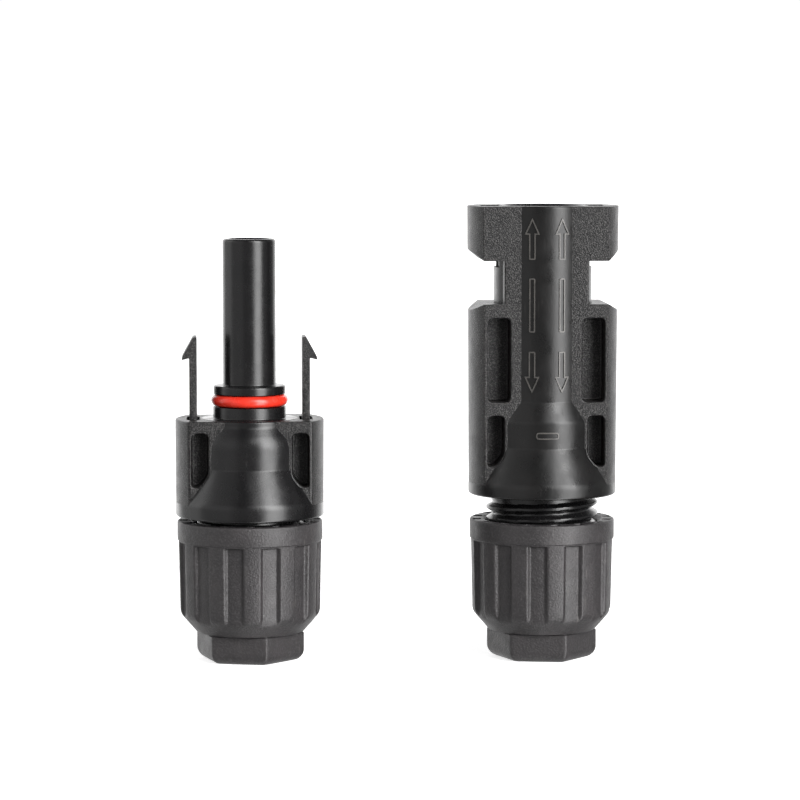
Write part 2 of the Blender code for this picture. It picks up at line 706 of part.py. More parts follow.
# ---------------------------------------------------------------- gland
def hexagon_prism(name, bottom, top):
    """A hexagon with a corner on +X, from one height to another."""
    shape = bmesh.new()
    corner = 2 * NUT_HEX_HALF / math.sqrt(3)
    made = bmesh.ops.create_cone(
        shape, cap_ends=True, segments=6, radius1=corner, radius2=corner, depth=top - bottom
    )
    bmesh.ops.translate(shape, verts=made["verts"], vec=(0, 0, (top + bottom) / 2))
    first = max(made["verts"], key=lambda v: v.co.x).co
    turn = -math.atan2(first.y, first.x)
    bmesh.ops.rotate(shape, cent=(0, 0, 0), matrix=Matrix.Rotation(turn, 3, "Z"), verts=shape.verts)
    mesh = bpy.data.meshes.new(name)
    shape.to_mesh(mesh)
    shape.free()
    return helper(bpy.data.objects.new(name, mesh))


def nut_flute(name, angle):
    """One flute: a block that stands on the flute's floor, leaning with the body's taper."""
    width = 2 * NUT_BODY_RADIUS * math.sin(math.pi / NUT_FLUTES / 2)
    top = NUT_HEIGHT - NUT_COLLAR_HEIGHT
    floor = NUT_BODY_RADIUS - NUT_DRAFT - NUT_FLUTE_DEPTH
    low, high = (floor, -width / 2, NUT_HEX_HEIGHT - PAST), (NUT_COLLAR_RADIUS + PAST, width / 2, top)
    flute = block(name, low, high)
    lean = Matrix.Shear("XY", 4, (NUT_DRAFT / top, 0))
    flute.data.transform(Matrix.Rotation(angle, 4, "Z") @ lean)
    return flute


def nut_mesh():
    """The gland nut about its axis, standing on its hexagon, with a hexagon corner on +X."""
    collar_bottom = NUT_HEIGHT - NUT_COLLAR_HEIGHT
    cone_top = NUT_HEX_HEIGHT + NUT_CONE_HEIGHT
    edge = 0.2 * MM
    upper = turned(
        "nut_upper",
        [
            (0, NUT_HEIGHT),
            (NUT_COLLAR_RADIUS - edge, NUT_HEIGHT),
            (NUT_COLLAR_RADIUS, NUT_HEIGHT - edge),
            (NUT_COLLAR_RADIUS, collar_bottom),
            (NUT_BODY_RADIUS, collar_bottom),
            (NUT_BODY_RADIUS - NUT_DRAFT, cone_top),
            (NUT_HEX_CORNER_RADIUS - edge, NUT_HEX_HEIGHT),
            (0, NUT_HEX_HEIGHT),
        ],
        BORE_STEPS,
    )
    upper.data.transform(Matrix.Rotation(math.pi / BORE_STEPS, 4, "Z"))
    for index in range(NUT_FLUTES):
        cut(upper, nut_flute(f"nut_flute_{index}", 2 * math.pi * index / NUT_FLUTES))

    foot = turned(
        "nut_foot",
        [
            (0, cone_top),
            (NUT_HEX_CORNER_RADIUS, cone_top),
            (NUT_HEX_CORNER_RADIUS, NUT_FOOT_CHAMFER),
            (NUT_HEX_CORNER_RADIUS - NUT_FOOT_CHAMFER, 0),
            (0, 0),
        ],
        BORE_STEPS,
    )
    boolean(foot, hexagon_prism("nut_hexagon", -PAST, cone_top + PAST), "INTERSECT")
    joined(upper, foot)

    lead = 0.45 * MM
    bore = turned(
        "nut_bore",
        [
            (0, NUT_HEIGHT + PAST),
            (NUT_BORE_RADIUS + lead, NUT_HEIGHT + PAST),
            (NUT_BORE_RADIUS + lead, NUT_HEIGHT),
            (NUT_BORE_RADIUS, NUT_HEIGHT - lead),
            (NUT_BORE_RADIUS, NUT_WAIST_HEIGHT),
            (THREAD_ROOT_RADIUS, NUT_WAIST_HEIGHT),
            (THREAD_ROOT_RADIUS, NUT_SHOULDER_HEIGHT),
            (NUT_CABLE_HOLE_RADIUS, NUT_SHOULDER_HEIGHT),
            (NUT_CABLE_HOLE_RADIUS, edge * 2),
            (NUT_CABLE_HOLE_RADIUS + edge * 2, 0),
            (NUT_CABLE_HOLE_RADIUS + edge * 2, -PAST),
            (0, -PAST),
        ],
        BORE_STEPS,
    )
    cut(upper, bore)
    joined(upper, helix("nut_thread", inner_tooth(), NUT_THREAD_START, 0.0, NUT_THREAD_TURNS))

    size = NUT_RATCHET_SIZE / 2
    middle = (NUT_BORE_RADIUS + lead + NUT_COLLAR_RADIUS - edge) / 2
    for index in range(NUT_RATCHETS):
        notch = block(
            f"nut_ratchet_{index}",
            (middle - size, -size, NUT_HEIGHT - NUT_RATCHET_DEPTH),
            (middle + size, size, NUT_HEIGHT + PAST),
        )
        notch.data.transform(Matrix.Rotation(2 * math.pi * index / NUT_RATCHETS, 4, "Z"))
        cut(upper, notch)
    return evaluated_mesh(upper)


def radial_slots(prefix, count, width, reach, bottom, top, start_angle=0.0):
    """Blocks across the axis, each of which cuts two opposite slots."""
    slots = []
    for index in range(count // 2):
        slot = block(f"{prefix}_{index}", (-reach, -width / 2, bottom), (reach, width / 2, top))
        angle = start_angle + math.pi * index / (count // 2)
        slot.data.transform(Matrix.Rotation(angle, 4, "Z"))
        slots.append(slot)
    return slots


def claw_mesh():
    """The clamp claw in the nut's frame: a ring with slotted fingers that close round the seal."""
    seat = CLAW_RING_BOTTOM + CLAW_RING_HEIGHT / 4
    taper = 0.5 * MM
    claw = turned(
        "claw",
        [
            (CLAW_FINGER_RADIUS - taper, CLAW_TOP),
            (CLAW_FINGER_RADIUS, CLAW_TOP - 2 * taper),
            (CLAW_FINGER_RADIUS, CLAW_RING_TOP),
            (CLAW_RING_RADIUS, CLAW_RING_TOP),
            (CLAW_RING_RADIUS, CLAW_RING_BOTTOM),
            (NUT_CABLE_HOLE_RADIUS, CLAW_RING_BOTTOM),
            (NUT_CABLE_HOLE_RADIUS, seat),
            (CLAW_FINGER_BORE, seat),
            (CLAW_FINGER_BORE, CLAW_TOP),
        ],
        BORE_STEPS,
    )
    reach = THREAD_CREST_RADIUS + PAST
    slots = radial_slots("claw_slot", CLAW_SLOTS, CLAW_SLOT_WIDTH, reach, CLAW_RING_TOP, CLAW_TOP + PAST)
    cut(claw, *slots)
    return evaluated_mesh(claw)


def seal_mesh():
    """The cable seal in the nut's frame: a ribbed rubber tube with a head over the claw's fingers."""
    bottom = CLAW_RING_BOTTOM + CLAW_RING_HEIGHT / 4 + SEAT_GAP
    head_bottom = CLAW_TOP + SEAT_GAP
    head_radius = CLAW_FINGER_RADIUS - SEAL_GROOVE
    outer = [
        (head_radius - SEAL_GROOVE, SEAL_HEAD_TOP),
        (head_radius, SEAL_HEAD_TOP - SEAL_GROOVE),
        (head_radius, head_bottom),
        (SEAL_RADIUS, head_bottom),
        (SEAL_RADIUS, bottom),
    ]
    rise = (SEAL_HEAD_TOP - bottom) / (SEAL_RIBS + 1)
    inner = []
    for index in range(SEAL_RIBS):
        middle = bottom + rise * (index + 1)
        inner += [(CABLE_BORE_RADIUS + SEAL_GROOVE, middle - rise / 2), (CABLE_BORE_RADIUS, middle)]
    inner.append((CABLE_BORE_RADIUS + SEAL_GROOVE, SEAL_HEAD_TOP - rise / 2))
    profile = [*outer, (CABLE_BORE_RADIUS, bottom), *inner, (CABLE_BORE_RADIUS, SEAL_HEAD_TOP)]
    return evaluated_mesh(turned("seal", profile, BORE_STEPS))


# ---------------------------------------------------------------- contacts
def crimp_profile(stop):
    """A contact's outer side below its collar and up the inside of its crimp barrel, to the axis."""
    neck = stop - CONTACT_COLLAR_HEIGHT
    barrel = neck - CONTACT_NECK_HEIGHT
    end = barrel - BARREL_LENGTH
    return [
        (CONTACT_COLLAR_RADIUS, stop),
        (CONTACT_COLLAR_RADIUS, neck),
        (CONTACT_NECK_RADIUS, neck),
        (CONTACT_NECK_RADIUS, barrel),
        (BARREL_RADIUS, barrel),
        (BARREL_RADIUS, end),
        (BARREL_BORE_RADIUS, end),
        (BARREL_BORE_RADIUS, end + BARREL_BORE_DEPTH),
        (0, end + BARREL_BORE_DEPTH),
    ]


def pin_contact_mesh():
    tip = PIN_TOP - PIN_TIP_DEPTH
    nose = 0.9 * MM
    stop = PIN_CONTACT_STOP - SEAT_GAP
    profile = [
        (0, tip),
        (CONTACT_RADIUS - nose, tip),
        (CONTACT_RADIUS - nose / 4, tip - nose / 2),
        (CONTACT_RADIUS, tip - 1.5 * nose),
        (CONTACT_RADIUS, stop),
    ]
    return evaluated_mesh(turned("pin_contact_shape", profile + crimp_profile(stop), BORE_STEPS))


def socket_contact_mesh():
    tip = SOCKET_NOSE_TIP - NOSE_LIP - SEAT_GAP
    stop = SOCKET_CONTACT_STOP - SEAT_GAP
    lead = 0.2 * MM
    band_top = tip - BAND_LIP
    band_bottom = band_top - BAND_LENGTH - 2 * SEAT_GAP
    profile = [
        (0, tip - SOCKET_BORE_DEPTH),
        (SOCKET_MOUTH_RADIUS, tip - SOCKET_BORE_DEPTH),
        (SOCKET_MOUTH_RADIUS, band_bottom),
        (BAND_GROOVE_RADIUS, band_bottom),
        (BAND_GROOVE_RADIUS, band_top),
        (SOCKET_MOUTH_RADIUS, band_top),
        (SOCKET_MOUTH_RADIUS, tip - lead),
        (SOCKET_MOUTH_RADIUS + lead, tip),
        (SOCKET_TUBE_RADIUS - lead / 4, tip),
        (SOCKET_TUBE_RADIUS, tip - lead),
        (SOCKET_TUBE_RADIUS, stop),
    ]
    return evaluated_mesh(turned("socket_contact_shape", profile + crimp_profile(stop), BORE_STEPS))


def band_mesh():
    """The louvred spring band in the socket: bowed inwards and slotted, so that it grips the pin."""
    top = SOCKET_NOSE_TIP - NOSE_LIP - 2 * SEAT_GAP - BAND_LIP
    bottom = top - BAND_LENGTH
    outer = BAND_GROOVE_RADIUS - SEAT_GAP / 2
    waist = CONTACT_RADIUS + SEAT_GAP + BAND_THICKNESS / 2
    rim = 0.8 * MM
    middle = (top + bottom) / 2
    down = [(outer, top), (outer, top - rim), (waist, middle), (outer, bottom + rim), (outer, bottom)]
    up = [(radius - BAND_THICKNESS, height) for radius, height in reversed(down)]
    band = turned("band", down + up, BORE_STEPS)
    width = outer * math.pi / BAND_SLOTS / 2
    start_angle = math.pi / BORE_STEPS
    cut(band, *radial_slots("band_slot", BAND_SLOTS, width, 2 * outer, bottom + rim, top - rim, start_angle))
    return evaluated_mesh(band)


def clip_mesh(stop):
    """The retaining clip on a contact's neck, with tabs that spring out above the housing's throat."""
    neck = stop - SEAT_GAP - CONTACT_COLLAR_HEIGHT
    top = neck - SEAT_GAP
    tab_end = stop - LOCK_POCKET_HEIGHT + SEAT_GAP
    inner = CONTACT_NECK_RADIUS + SEAT_GAP
    outer = inner + CLIP_THICKNESS
    tab = CHAMBER_RADIUS - CLIP_ROOM
    clip = turned(
        "clip",
        [
            (outer, top),
            (tab, tab_end + CLIP_THICKNESS),
            (tab, tab_end),
            (tab - CLIP_THICKNESS, tab_end),
            (outer, top - CLIP_THICKNESS * 2.5),
            (outer, top - CLIP_LENGTH),
            (inner, top - CLIP_LENGTH),
            (inner, top),
        ],
        BORE_STEPS,
    )
    spread = CHAMBER_RADIUS
    width = 1.1 * MM
    for index in range(CLIP_TABS):
        gap = block(
            f"clip_gap_{index}",
            (outer + SEAT_GAP / 4, -width / 2, top - CLIP_LENGTH / 2 - PAST),
            (spread, width / 2, top + SEAT_GAP),
        )
        gap.data.transform(Matrix.Rotation(2 * math.pi * (index + 0.5) / CLIP_TABS, 4, "Z"))
        cut(clip, gap)
    return evaluated_mesh(clip)


# ---------------------------------------------------------------- assembly
def place_gland(prefix, half, turn, meshes):
    """The nut, claw and seal of one half, about that half's axis. The nut turns with its own empty."""
    as_part(f"{prefix}_gland_nut", meshes["nut"], NUT_PLASTIC, half, turn=turn)
    as_part(f"{prefix}_clamp_claw", meshes["claw"], PLASTIC, half)
    as_part(f"{prefix}_cable_seal", meshes["seal"], GREY_RUBBER, half)


def build():
    gland = {"nut": nut_mesh(), "claw": claw_mesh(), "seal": seal_mesh()}

    pin_half = make_empty("pin_half_axis", (PIN_X, 0, 0))
    as_part("pin_housing", pin_housing_mesh(), PLASTIC, pin_half)
    as_part("pin_contact", pin_contact_mesh(), TINNED, pin_half)
    as_part("pin_contact_clip", clip_mesh(PIN_CONTACT_STOP), SPRING, pin_half)
    place_gland("pin", pin_half, PIN_NUT_TURN, gland)

    socket_half = make_empty("socket_half_axis", (SOCKET_X, 0, 0))
    as_part("socket_housing", socket_housing_mesh(), PLASTIC, socket_half)
    as_part("socket_contact", socket_contact_mesh(), TINNED, socket_half)
    as_part("socket_spring_band", band_mesh(), SPRING, socket_half)
    as_part("socket_contact_clip", clip_mesh(SOCKET_CONTACT_STOP), SPRING, socket_half)
    as_part("socket_sealing_ring", ring_mesh(), RED_SILICONE, socket_half, (0, 0, SOCKET_TOP + RING_HEIGHT))
    for side, word in ((-1, "left"), (1, "right")):
        pivot = (side * LATCH_INNER, 0, SOCKET_TOP - LATCH_PIVOT_DEPTH)
        as_part(f"socket_latch_{word}", latch_mesh(side), PLASTIC, socket_half, pivot)
    place_gland("socket", socket_half, SOCKET_NUT_TURN, gland)


clear_scene()
parts = make_collection("solar_cable_connector")
cutters = make_collection("cutters")
materials = {name: make_material(name, *look) for name, look in MATERIALS.items()}
build()
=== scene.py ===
"""Solar cable connector: a pin half and a socket half, standing side by side on their gland nuts.

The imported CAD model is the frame. Each sub-assembly below builds the pieces that are shown in
place of its CAD nodes: moulded housings with their cored pockets and arrow marks, snap latches,
sealing ring, gland nuts on their threads, clamp claws, cable seals and crimp contacts. Sections
and sizes are in millimetres about the axis of the half that they belong to, and a piece becomes
metres when it is placed.
"""

import logging
import math
from collections.abc import Callable, Iterable, Sequence
from dataclasses import dataclass, field
from enum import Enum
from typing import Any

import bmesh
import bpy
from mathutils import Matrix, Vector


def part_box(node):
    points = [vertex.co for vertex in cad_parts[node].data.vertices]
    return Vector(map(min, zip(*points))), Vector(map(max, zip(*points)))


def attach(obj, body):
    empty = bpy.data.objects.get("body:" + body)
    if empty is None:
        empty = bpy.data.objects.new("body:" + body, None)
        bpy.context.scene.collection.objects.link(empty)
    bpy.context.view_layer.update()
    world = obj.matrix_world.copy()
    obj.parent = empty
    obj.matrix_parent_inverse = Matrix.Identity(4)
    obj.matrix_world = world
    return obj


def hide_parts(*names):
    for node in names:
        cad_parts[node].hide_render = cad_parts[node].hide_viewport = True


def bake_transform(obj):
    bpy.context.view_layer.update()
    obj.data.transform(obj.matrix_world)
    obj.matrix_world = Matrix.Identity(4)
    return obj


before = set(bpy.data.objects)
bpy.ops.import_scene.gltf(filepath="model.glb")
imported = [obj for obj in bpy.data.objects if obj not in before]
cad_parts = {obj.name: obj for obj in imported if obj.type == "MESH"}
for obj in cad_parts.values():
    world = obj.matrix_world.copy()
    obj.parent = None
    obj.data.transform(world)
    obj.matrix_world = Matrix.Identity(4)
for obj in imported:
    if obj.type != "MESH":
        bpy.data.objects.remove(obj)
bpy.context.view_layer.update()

LOG = logging.getLogger("solar_cable_connector")
MM = 0.001
TURN = 2 * math.pi
SECTORS = 12  # a turned piece is one sector, copied round
WELD = 1e-4  # points closer than this are one
PAST = 1.0  # how far a cutter runs past the face that it opens
SMUDGE_SHARE = 0.45  # size of the gloss smudges against the colour patches
RUB_DULLNESS = 0.25  # roughness that a full rub adds


# ---------------------------------------------------------------- small sums
def smooth_step(low: float, high: float, value: float) -> float:
    """A smooth rise from 0 at low to 1 at high.

    Args:
        low: Where the rise starts.
        high: Where it ends.
        value: The place asked about.

    Returns:
        The height of the rise, from 0 to 1.
    """
    share = min(1.0, max(0.0, (value - low) / (high - low)))
    return share * share * (3 - 2 * share)


def soft_min(first: float, second: float, width: float) -> float:
    """The smaller of two radii, with the corner where they cross rounded over a width.

    Args:
        first: One radius.
        second: The other.
        width: How far apart the two still soften each other.

    Returns:
        The softened minimum.
    """
    near = max(width - abs(first - second), 0.0) / width
    return min(first, second) - near * near * width / 4


def to_nearest(value: float, step: float) -> float:
    """The signed distance from value to the nearest multiple of step.

    Args:
        value: An angle or a length.
        step: The spacing of the multiples.

    Returns:
        The distance, between minus and plus half a step.
    """
    return value - step * round(value / step)


# ---------------------------------------------------------------- materials
def linear(colour: str) -> tuple[float, float, float, float]:
    """An sRGB hex colour as linear values.

    Args:
        colour: Six hex digits after a hash.

    Returns:
        Linear red, green, blue and an alpha of 1.
    """
    parts = [int(colour[i : i + 2], 16) / 255 for i in (1, 3, 5)]
    curve = [c / 12.92 if c <= 0.04045 else ((c + 0.055) / 1.055) ** 2.4 for c in parts]
    return (curve[0], curve[1], curve[2], 1.0)


def add_node(
    tree: bpy.types.NodeTree, kind: str, options: dict[str, Any], inputs: dict[str | int, Any]
) -> bpy.types.Node:
    """Adds one node, sets its options, and fills each input with a value or a link.

    Args:
        tree: The node tree.
        kind: The node's type.
        options: Attributes of the node.
        inputs: For each input's name or number, its value or the output that feeds it.

    Returns:
        The node.
    """
    node = tree.nodes.new(kind)
    for name, value in options.items():
        setattr(node, name, value)
    for name, value in inputs.items():
        if isinstance(value, bpy.types.NodeSocket):
            tree.links.new(value, node.inputs[name])
        else:
            node.inputs[name].default_value = value
    return node


SMOOTH = {"interpolation_type": "SMOOTHSTEP"}
MULTIPLY = {"operation": "MULTIPLY"}
MULTIPLY_ADD = {"operation": "MULTIPLY_ADD"}
DOT = {"operation": "DOT_PRODUCT"}


@dataclass(frozen=True)
class Finish:
    """A real material and how its surface was made, with any painted glints on its grain. Patterns are in
    millimetres on the object.
    """

    name: str
    base: str
    patch: str
    roughness: float
    roughness_spread: float
    grain: float
    grain_height: float
    patch_size: float = 4.0
    metallic: float = 0.0
    specular: float = 0.5
    flow: float = 0.0
    flow_height: float = 0.0
    rings: float = 0.0
    ring_height: float = 0.0
    painted_glint: str = ""
    painted_glint_amount: float = 0.0
    glow: float = 0.0
    scuff: str = ""
    scuff_amount: float = 0.0
    sheen: float = 0.0

    def build(self) -> bpy.types.Material:
        """The Blender material, made once and then shared.

        Returns:
            The material of this finish's name.
        """
        made = bpy.data.materials.get(self.name)
        if made is not None:
            return made
        material = bpy.data.materials.new(self.name)
        material.use_nodes = True
        tree = material.node_tree
        tree.nodes.clear()
        place = add_node(tree, "ShaderNodeTexCoord", {}, {}).outputs["Object"]

        patches, smudge, grit = (
            add_node(
                tree,
                "ShaderNodeTexNoise",
                {},
                {"Vector": place, "Scale": 1 / (size * MM), "Detail": detail},
            ).outputs[0]
            for size, detail in (
                (self.patch_size, 4.0),
                (self.patch_size * SMUDGE_SHARE, 3.0),
                (self.grain, 2.0),
            )
        )
        share = add_node(
            tree,
            "ShaderNodeMapRange",
            {},
            {"Value": patches, "From Min": 0.35, "From Max": 0.65},
        ).outputs["Result"]
        roughness = add_node(
            tree,
            "ShaderNodeMapRange",
            {},
            {
                "Value": smudge,
                "From Min": 0.3,
                "From Max": 0.7,
                "To Min": self.roughness - self.roughness_spread,
                "To Max": self.roughness + self.roughness_spread,
            },
        ).outputs["Result"]
        layers = [(share, self.patch)]
        if self.scuff:
            rubs = self.rubs(tree, place)
            layers.append((rubs, self.scuff))
            duller = {0: rubs, 1: RUB_DULLNESS, 2: roughness}
            roughness = add_node(tree, "ShaderNodeMath", MULTIPLY_ADD, duller).outputs[0]
        # Painted glints: pale colour where the grain's bump is highest, standing in for the light that its
        # peaks catch.
        if self.painted_glint:
            raised = {"Value": grit, "From Min": 0.48, "From Max": 0.66, "To Max": self.painted_glint_amount}
            painted_glints = add_node(tree, "ShaderNodeMapRange", {}, raised).outputs["Result"]
            layers.append((painted_glints, self.painted_glint))
        colour: Any = linear(self.base)
        for amount, over in layers:
            inputs = {"Factor": amount, 6: colour, 7: linear(over)}
            colour = add_node(tree, "ShaderNodeMix", {"data_type": "RGBA"}, inputs).outputs[2]

        reliefs = [(grit, self.grain_height)]
        for size, height, detail, stretch in (
            (self.flow, self.flow_height, 1.0, (1.0, 1.0, 1.0)),
            (self.rings, self.ring_height, 2.0, (0.02, 0.02, 1.0)),
        ):
            if size:
                stretched = {"Vector": place, "Scale": stretch}
                along = add_node(tree, "ShaderNodeMapping", {}, stretched).outputs["Vector"]
                inputs = {"Vector": along, "Scale": 1 / (size * MM), "Detail": detail}
                reliefs.append((add_node(tree, "ShaderNodeTexNoise", {}, inputs).outputs[0], height))
        normal = None
        for relief, height in reliefs:
            inputs = {"Height": relief, "Distance": height * MM, "Strength": 1.0}
            if normal is not None:
                inputs["Normal"] = normal
            normal = add_node(tree, "ShaderNodeBump", {}, inputs).outputs["Normal"]
        shader = add_node(
            tree,
            "ShaderNodeBsdfPrincipled",
            {},
            {
                "Base Color": colour,
                "Roughness": roughness,
                "Metallic": self.metallic,
                "Specular IOR Level": self.specular,
                "Sheen Weight": self.sheen,
                "Emission Color": (1.0, 1.0, 1.0, 1.0),
                "Emission Strength": self.glow,
                "Normal": normal,
            },
        )
        add_node(tree, "ShaderNodeOutputMaterial", {}, {"Surface": shader.outputs["BSDF"]})
        return material

    def rubs(self, tree: bpy.types.NodeTree, place: bpy.types.NodeSocket) -> bpy.types.NodeSocket:
        """Where handling has left short pale rubs, gathered in a few places.

        Args:
            tree: The node tree.
            place: The coordinates they read.

        Returns:
            How strongly each place is rubbed.
        """
        slanted = {"Vector": place, "Scale": (1.0, 1.0, 0.22), "Rotation": (0.35, 0.2, 0.0)}
        long = add_node(tree, "ShaderNodeMapping", {}, slanted).outputs["Vector"]
        shares = []
        for vector, size, detail, low, high, most in (
            (long, 0.5, 4.0, 0.6, 0.72, self.scuff_amount),
            (place, 6.0, 2.0, 0.45, 0.6, 1.0),
        ):
            inputs = {"Vector": vector, "Scale": 1 / (size * MM), "Detail": detail}
            lumps = add_node(tree, "ShaderNodeTexNoise", {}, inputs).outputs[0]
            ramp = {"Value": lumps, "From Min": low, "From Max": high, "To Max": most}
            shares.append(add_node(tree, "ShaderNodeMapRange", {}, ramp).outputs["Result"])
        return add_node(tree, "ShaderNodeMath", MULTIPLY, dict(enumerate(shares))).outputs[0]


# Black polyphenylene ether moulded against a spark-eroded tool: a fine even grain that scatters highlights
# into a soft grey sheen, with pale painted glints on the grain's peaks. The grit is drawn coarse enough to
# show.
SPARKED_PLASTIC = Finish(
    name="black_polyphenylene_ether_spark_eroded",
    base="#0e0d0e",
    patch="#121112",
    roughness=0.37,
    roughness_spread=0.05,
    grain=0.15,
    grain_height=0.065,
    specular=0.4,
    painted_glint="#565453",
    painted_glint_amount=0.6,
    scuff="#4a4947",
    scuff_amount=0.35,
)
# The same plastic against a polished tool: near-mirror skin over deep black, with faint flow waviness.
POLISHED_PLASTIC = Finish(
    name="black_polyphenylene_ether_polished",
    base="#131314",
    patch="#181718",
    roughness=0.26,
    roughness_spread=0.05,
    grain=0.2,
    grain_height=0.007,
    flow=3.0,
    flow_height=0.02,
    scuff="#3c3b39",
    scuff_amount=0.25,
)
# The same plastic against a stoned tool, as on the sleeve: the gloss is a little duller.
STONED_PLASTIC = Finish(
    name="black_polyphenylene_ether_stoned",
    base="#141414",
    patch="#1b1a1a",
    roughness=0.31,
    roughness_spread=0.06,
    specular=0.44,
    grain=0.3,
    grain_height=0.008,
    flow=2.0,
    flow_height=0.02,
    scuff="#3c3b39",
    scuff_amount=0.3,
)
# Raised marks on the same plastic: painted paler than the skin round them, a painted highlight for the light
# that their raised edges catch, and a little duller.
MARKS_PAINTED_HIGHLIGHT = Finish(
    name="black_polyphenylene_ether_rubbed_marks",
    base="#4a4846",
    patch="#5a5754",
    roughness=0.34,
    roughness_spread=0.06,
    grain=0.3,
    grain_height=0.01,
    patch_size=1.0,
)
# Glass-filled polyamide nut: matte warm grey skin, slightly mottled where the fibres lie near the surface,
# with pale painted glints on the grain's peaks.
MATTE_NUT_PLASTIC = Finish(
    name="grey_glass_filled_polyamide_matte",
    base="#2f2d2e",
    patch="#383536",
    roughness=0.48,
    roughness_spread=0.06,
    grain=0.26,
    grain_height=0.06,
    painted_glint="#464445",
    painted_glint_amount=0.5,
    scuff="#6a6764",
    scuff_amount=0.35,
)
# Liquid silicone rubber, moulded: saturated red with a clear soft gloss and a dusting of lint.
RED_SILICONE = Finish(
    name="red_silicone_rubber_moulded",
    base="#e6301f",
    patch="#f04030",
    roughness=0.26,
    roughness_spread=0.06,
    grain=0.3,
    grain_height=0.002,
    patch_size=2.0,
)
# Grey thermoplastic elastomer of the cable seal: dull, slightly talc-dusted.
SEAL_RUBBER = Finish(
    name="grey_sealing_rubber_moulded",
    base="#3d3e40",
    patch="#4a4b4d",
    roughness=0.72,
    roughness_spread=0.08,
    grain=0.25,
    grain_height=0.006,
    patch_size=2.5,
    sheen=0.15,
)
# Black polyamide of the clamp claw: satin, with a light moulding grain.
CLAW_PLASTIC = Finish(
    name="black_polyamide_satin",
    base="#191a1b",
    patch="#1f2021",
    roughness=0.42,
    roughness_spread=0.05,
    grain=0.25,
    grain_height=0.005,
)
# Turned copper under electroplated tin: pale warm silver, with fine lathe rings and cloudy plating.
TINNED_COPPER = Finish(
    name="tinned_copper_turned",
    base="#d8d4cc",
    patch="#c6c1b6",
    roughness=0.27,
    roughness_spread=0.07,
    grain=0.3,
    grain_height=0.001,
    patch_size=1.5,
    metallic=1.0,
    rings=0.12,
    ring_height=0.004,
)
# Rolled stainless spring strip: cooler and brighter, with a faint rolled streak.
SPRING_STEEL = Finish(
    name="stainless_spring_strip_rolled",
    base="#c9cbce",
    patch="#b5b8bc",
    roughness=0.24,
    roughness_spread=0.05,
    grain=0.2,
    grain_height=0.001,
    patch_size=1.2,
    metallic=1.0,
    rings=0.2,
    ring_height=0.002,
)
# Matte white studio paper.
STUDIO_PAPER = Finish(
    name="white_studio_paper",
    base="#f6f6f6",
    patch="#f8f8f8",
    roughness=0.9,
    roughness_spread=0.02,
    grain=0.8,
    grain_height=0.001,
    patch_size=60.0,
    specular=0.1,
    glow=0.7,
)


# ---------------------------------------------------------------- sections and shapes
class Path:
    """A section or outline drawn point by point, with its corners rounded."""

    def __init__(self) -> None:
        """Starts with no points."""
        self.corners: list[tuple[Vector, float, int]] = []

    def to(self, across: float, along: float, fillet: float = 0.0, rows: int = 1) -> "Path":
        """Draws on to a point.

        Args:
            across: The point's radius, or its first coordinate in an outline.
            along: Its height, or its second coordinate.
            fillet: How far back from the corner its rounding starts.
            rows: Into how many equal steps the way to this point is divided.

        Returns:
            The same path, so that calls can follow one another.
        """
        self.corners.append((Vector((across, along)), fillet, rows))
        return self

    def shrunk(self, inwards: float) -> "Path":
        """The same outline with its sides moved in and its rounding kept parallel.

        Args:
            inwards: How far the sides move, or out where it is negative.

        Returns:
            A new path.
        """
        smaller = Path()
        count = len(self.corners)
        points = [corner for corner, _, _ in self.corners]
        area = sum(points[index - 1].cross(point) for index, point in enumerate(points))
        for index, (corner, fillet, _) in enumerate(self.corners):
            before = (points[index - 1] - corner).normalized()
            after = (points[(index + 1) % count] - corner).normalized()
            half = before.angle(after) / 2
            hollow = after.cross(before) * area < 0
            shift = -inwards if hollow else inwards
            moved = corner + (before + after).normalized() * (shift / math.sin(half))
            smaller.to(moved.x, moved.y, max(fillet - shift / math.tan(half), 0.02) if fillet else 0.0)
        return smaller

    def drawn(self, closed: bool, steps: int = 5) -> list[Vector]:
        """The points with their corners rounded.

        Args:
            closed: Whether the last point leads back to the first.
            steps: Steps in each rounding.

        Returns:
            The points in order.
        """
        count = len(self.corners)
        runs: list[list[Vector]] = []
        for index, (corner, fillet, _) in enumerate(self.corners):
            if not fillet or (not closed and index in (0, count - 1)):
                runs.append([corner])
                continue
            before = self.corners[index - 1][0] - corner
            after = self.corners[(index + 1) % count][0] - corner
            reach = min(fillet, before.length * 0.49, after.length * 0.49)
            start = corner + before.normalized() * reach
            end = corner + after.normalized() * reach
            run = []
            for step in range(steps + 1):
                t = step / steps
                run.append(start * (1 - t) ** 2 + corner * 2 * t * (1 - t) + end * t**2)
            runs.append(run)
        points: list[Vector] = []
        for index, run in enumerate(runs):
            rows = self.corners[index][2]
            if rows > 1:
                last = runs[index - 1][-1]
                points += [last.lerp(run[0], row / rows) for row in range(1, rows)]
            points += run
        return points


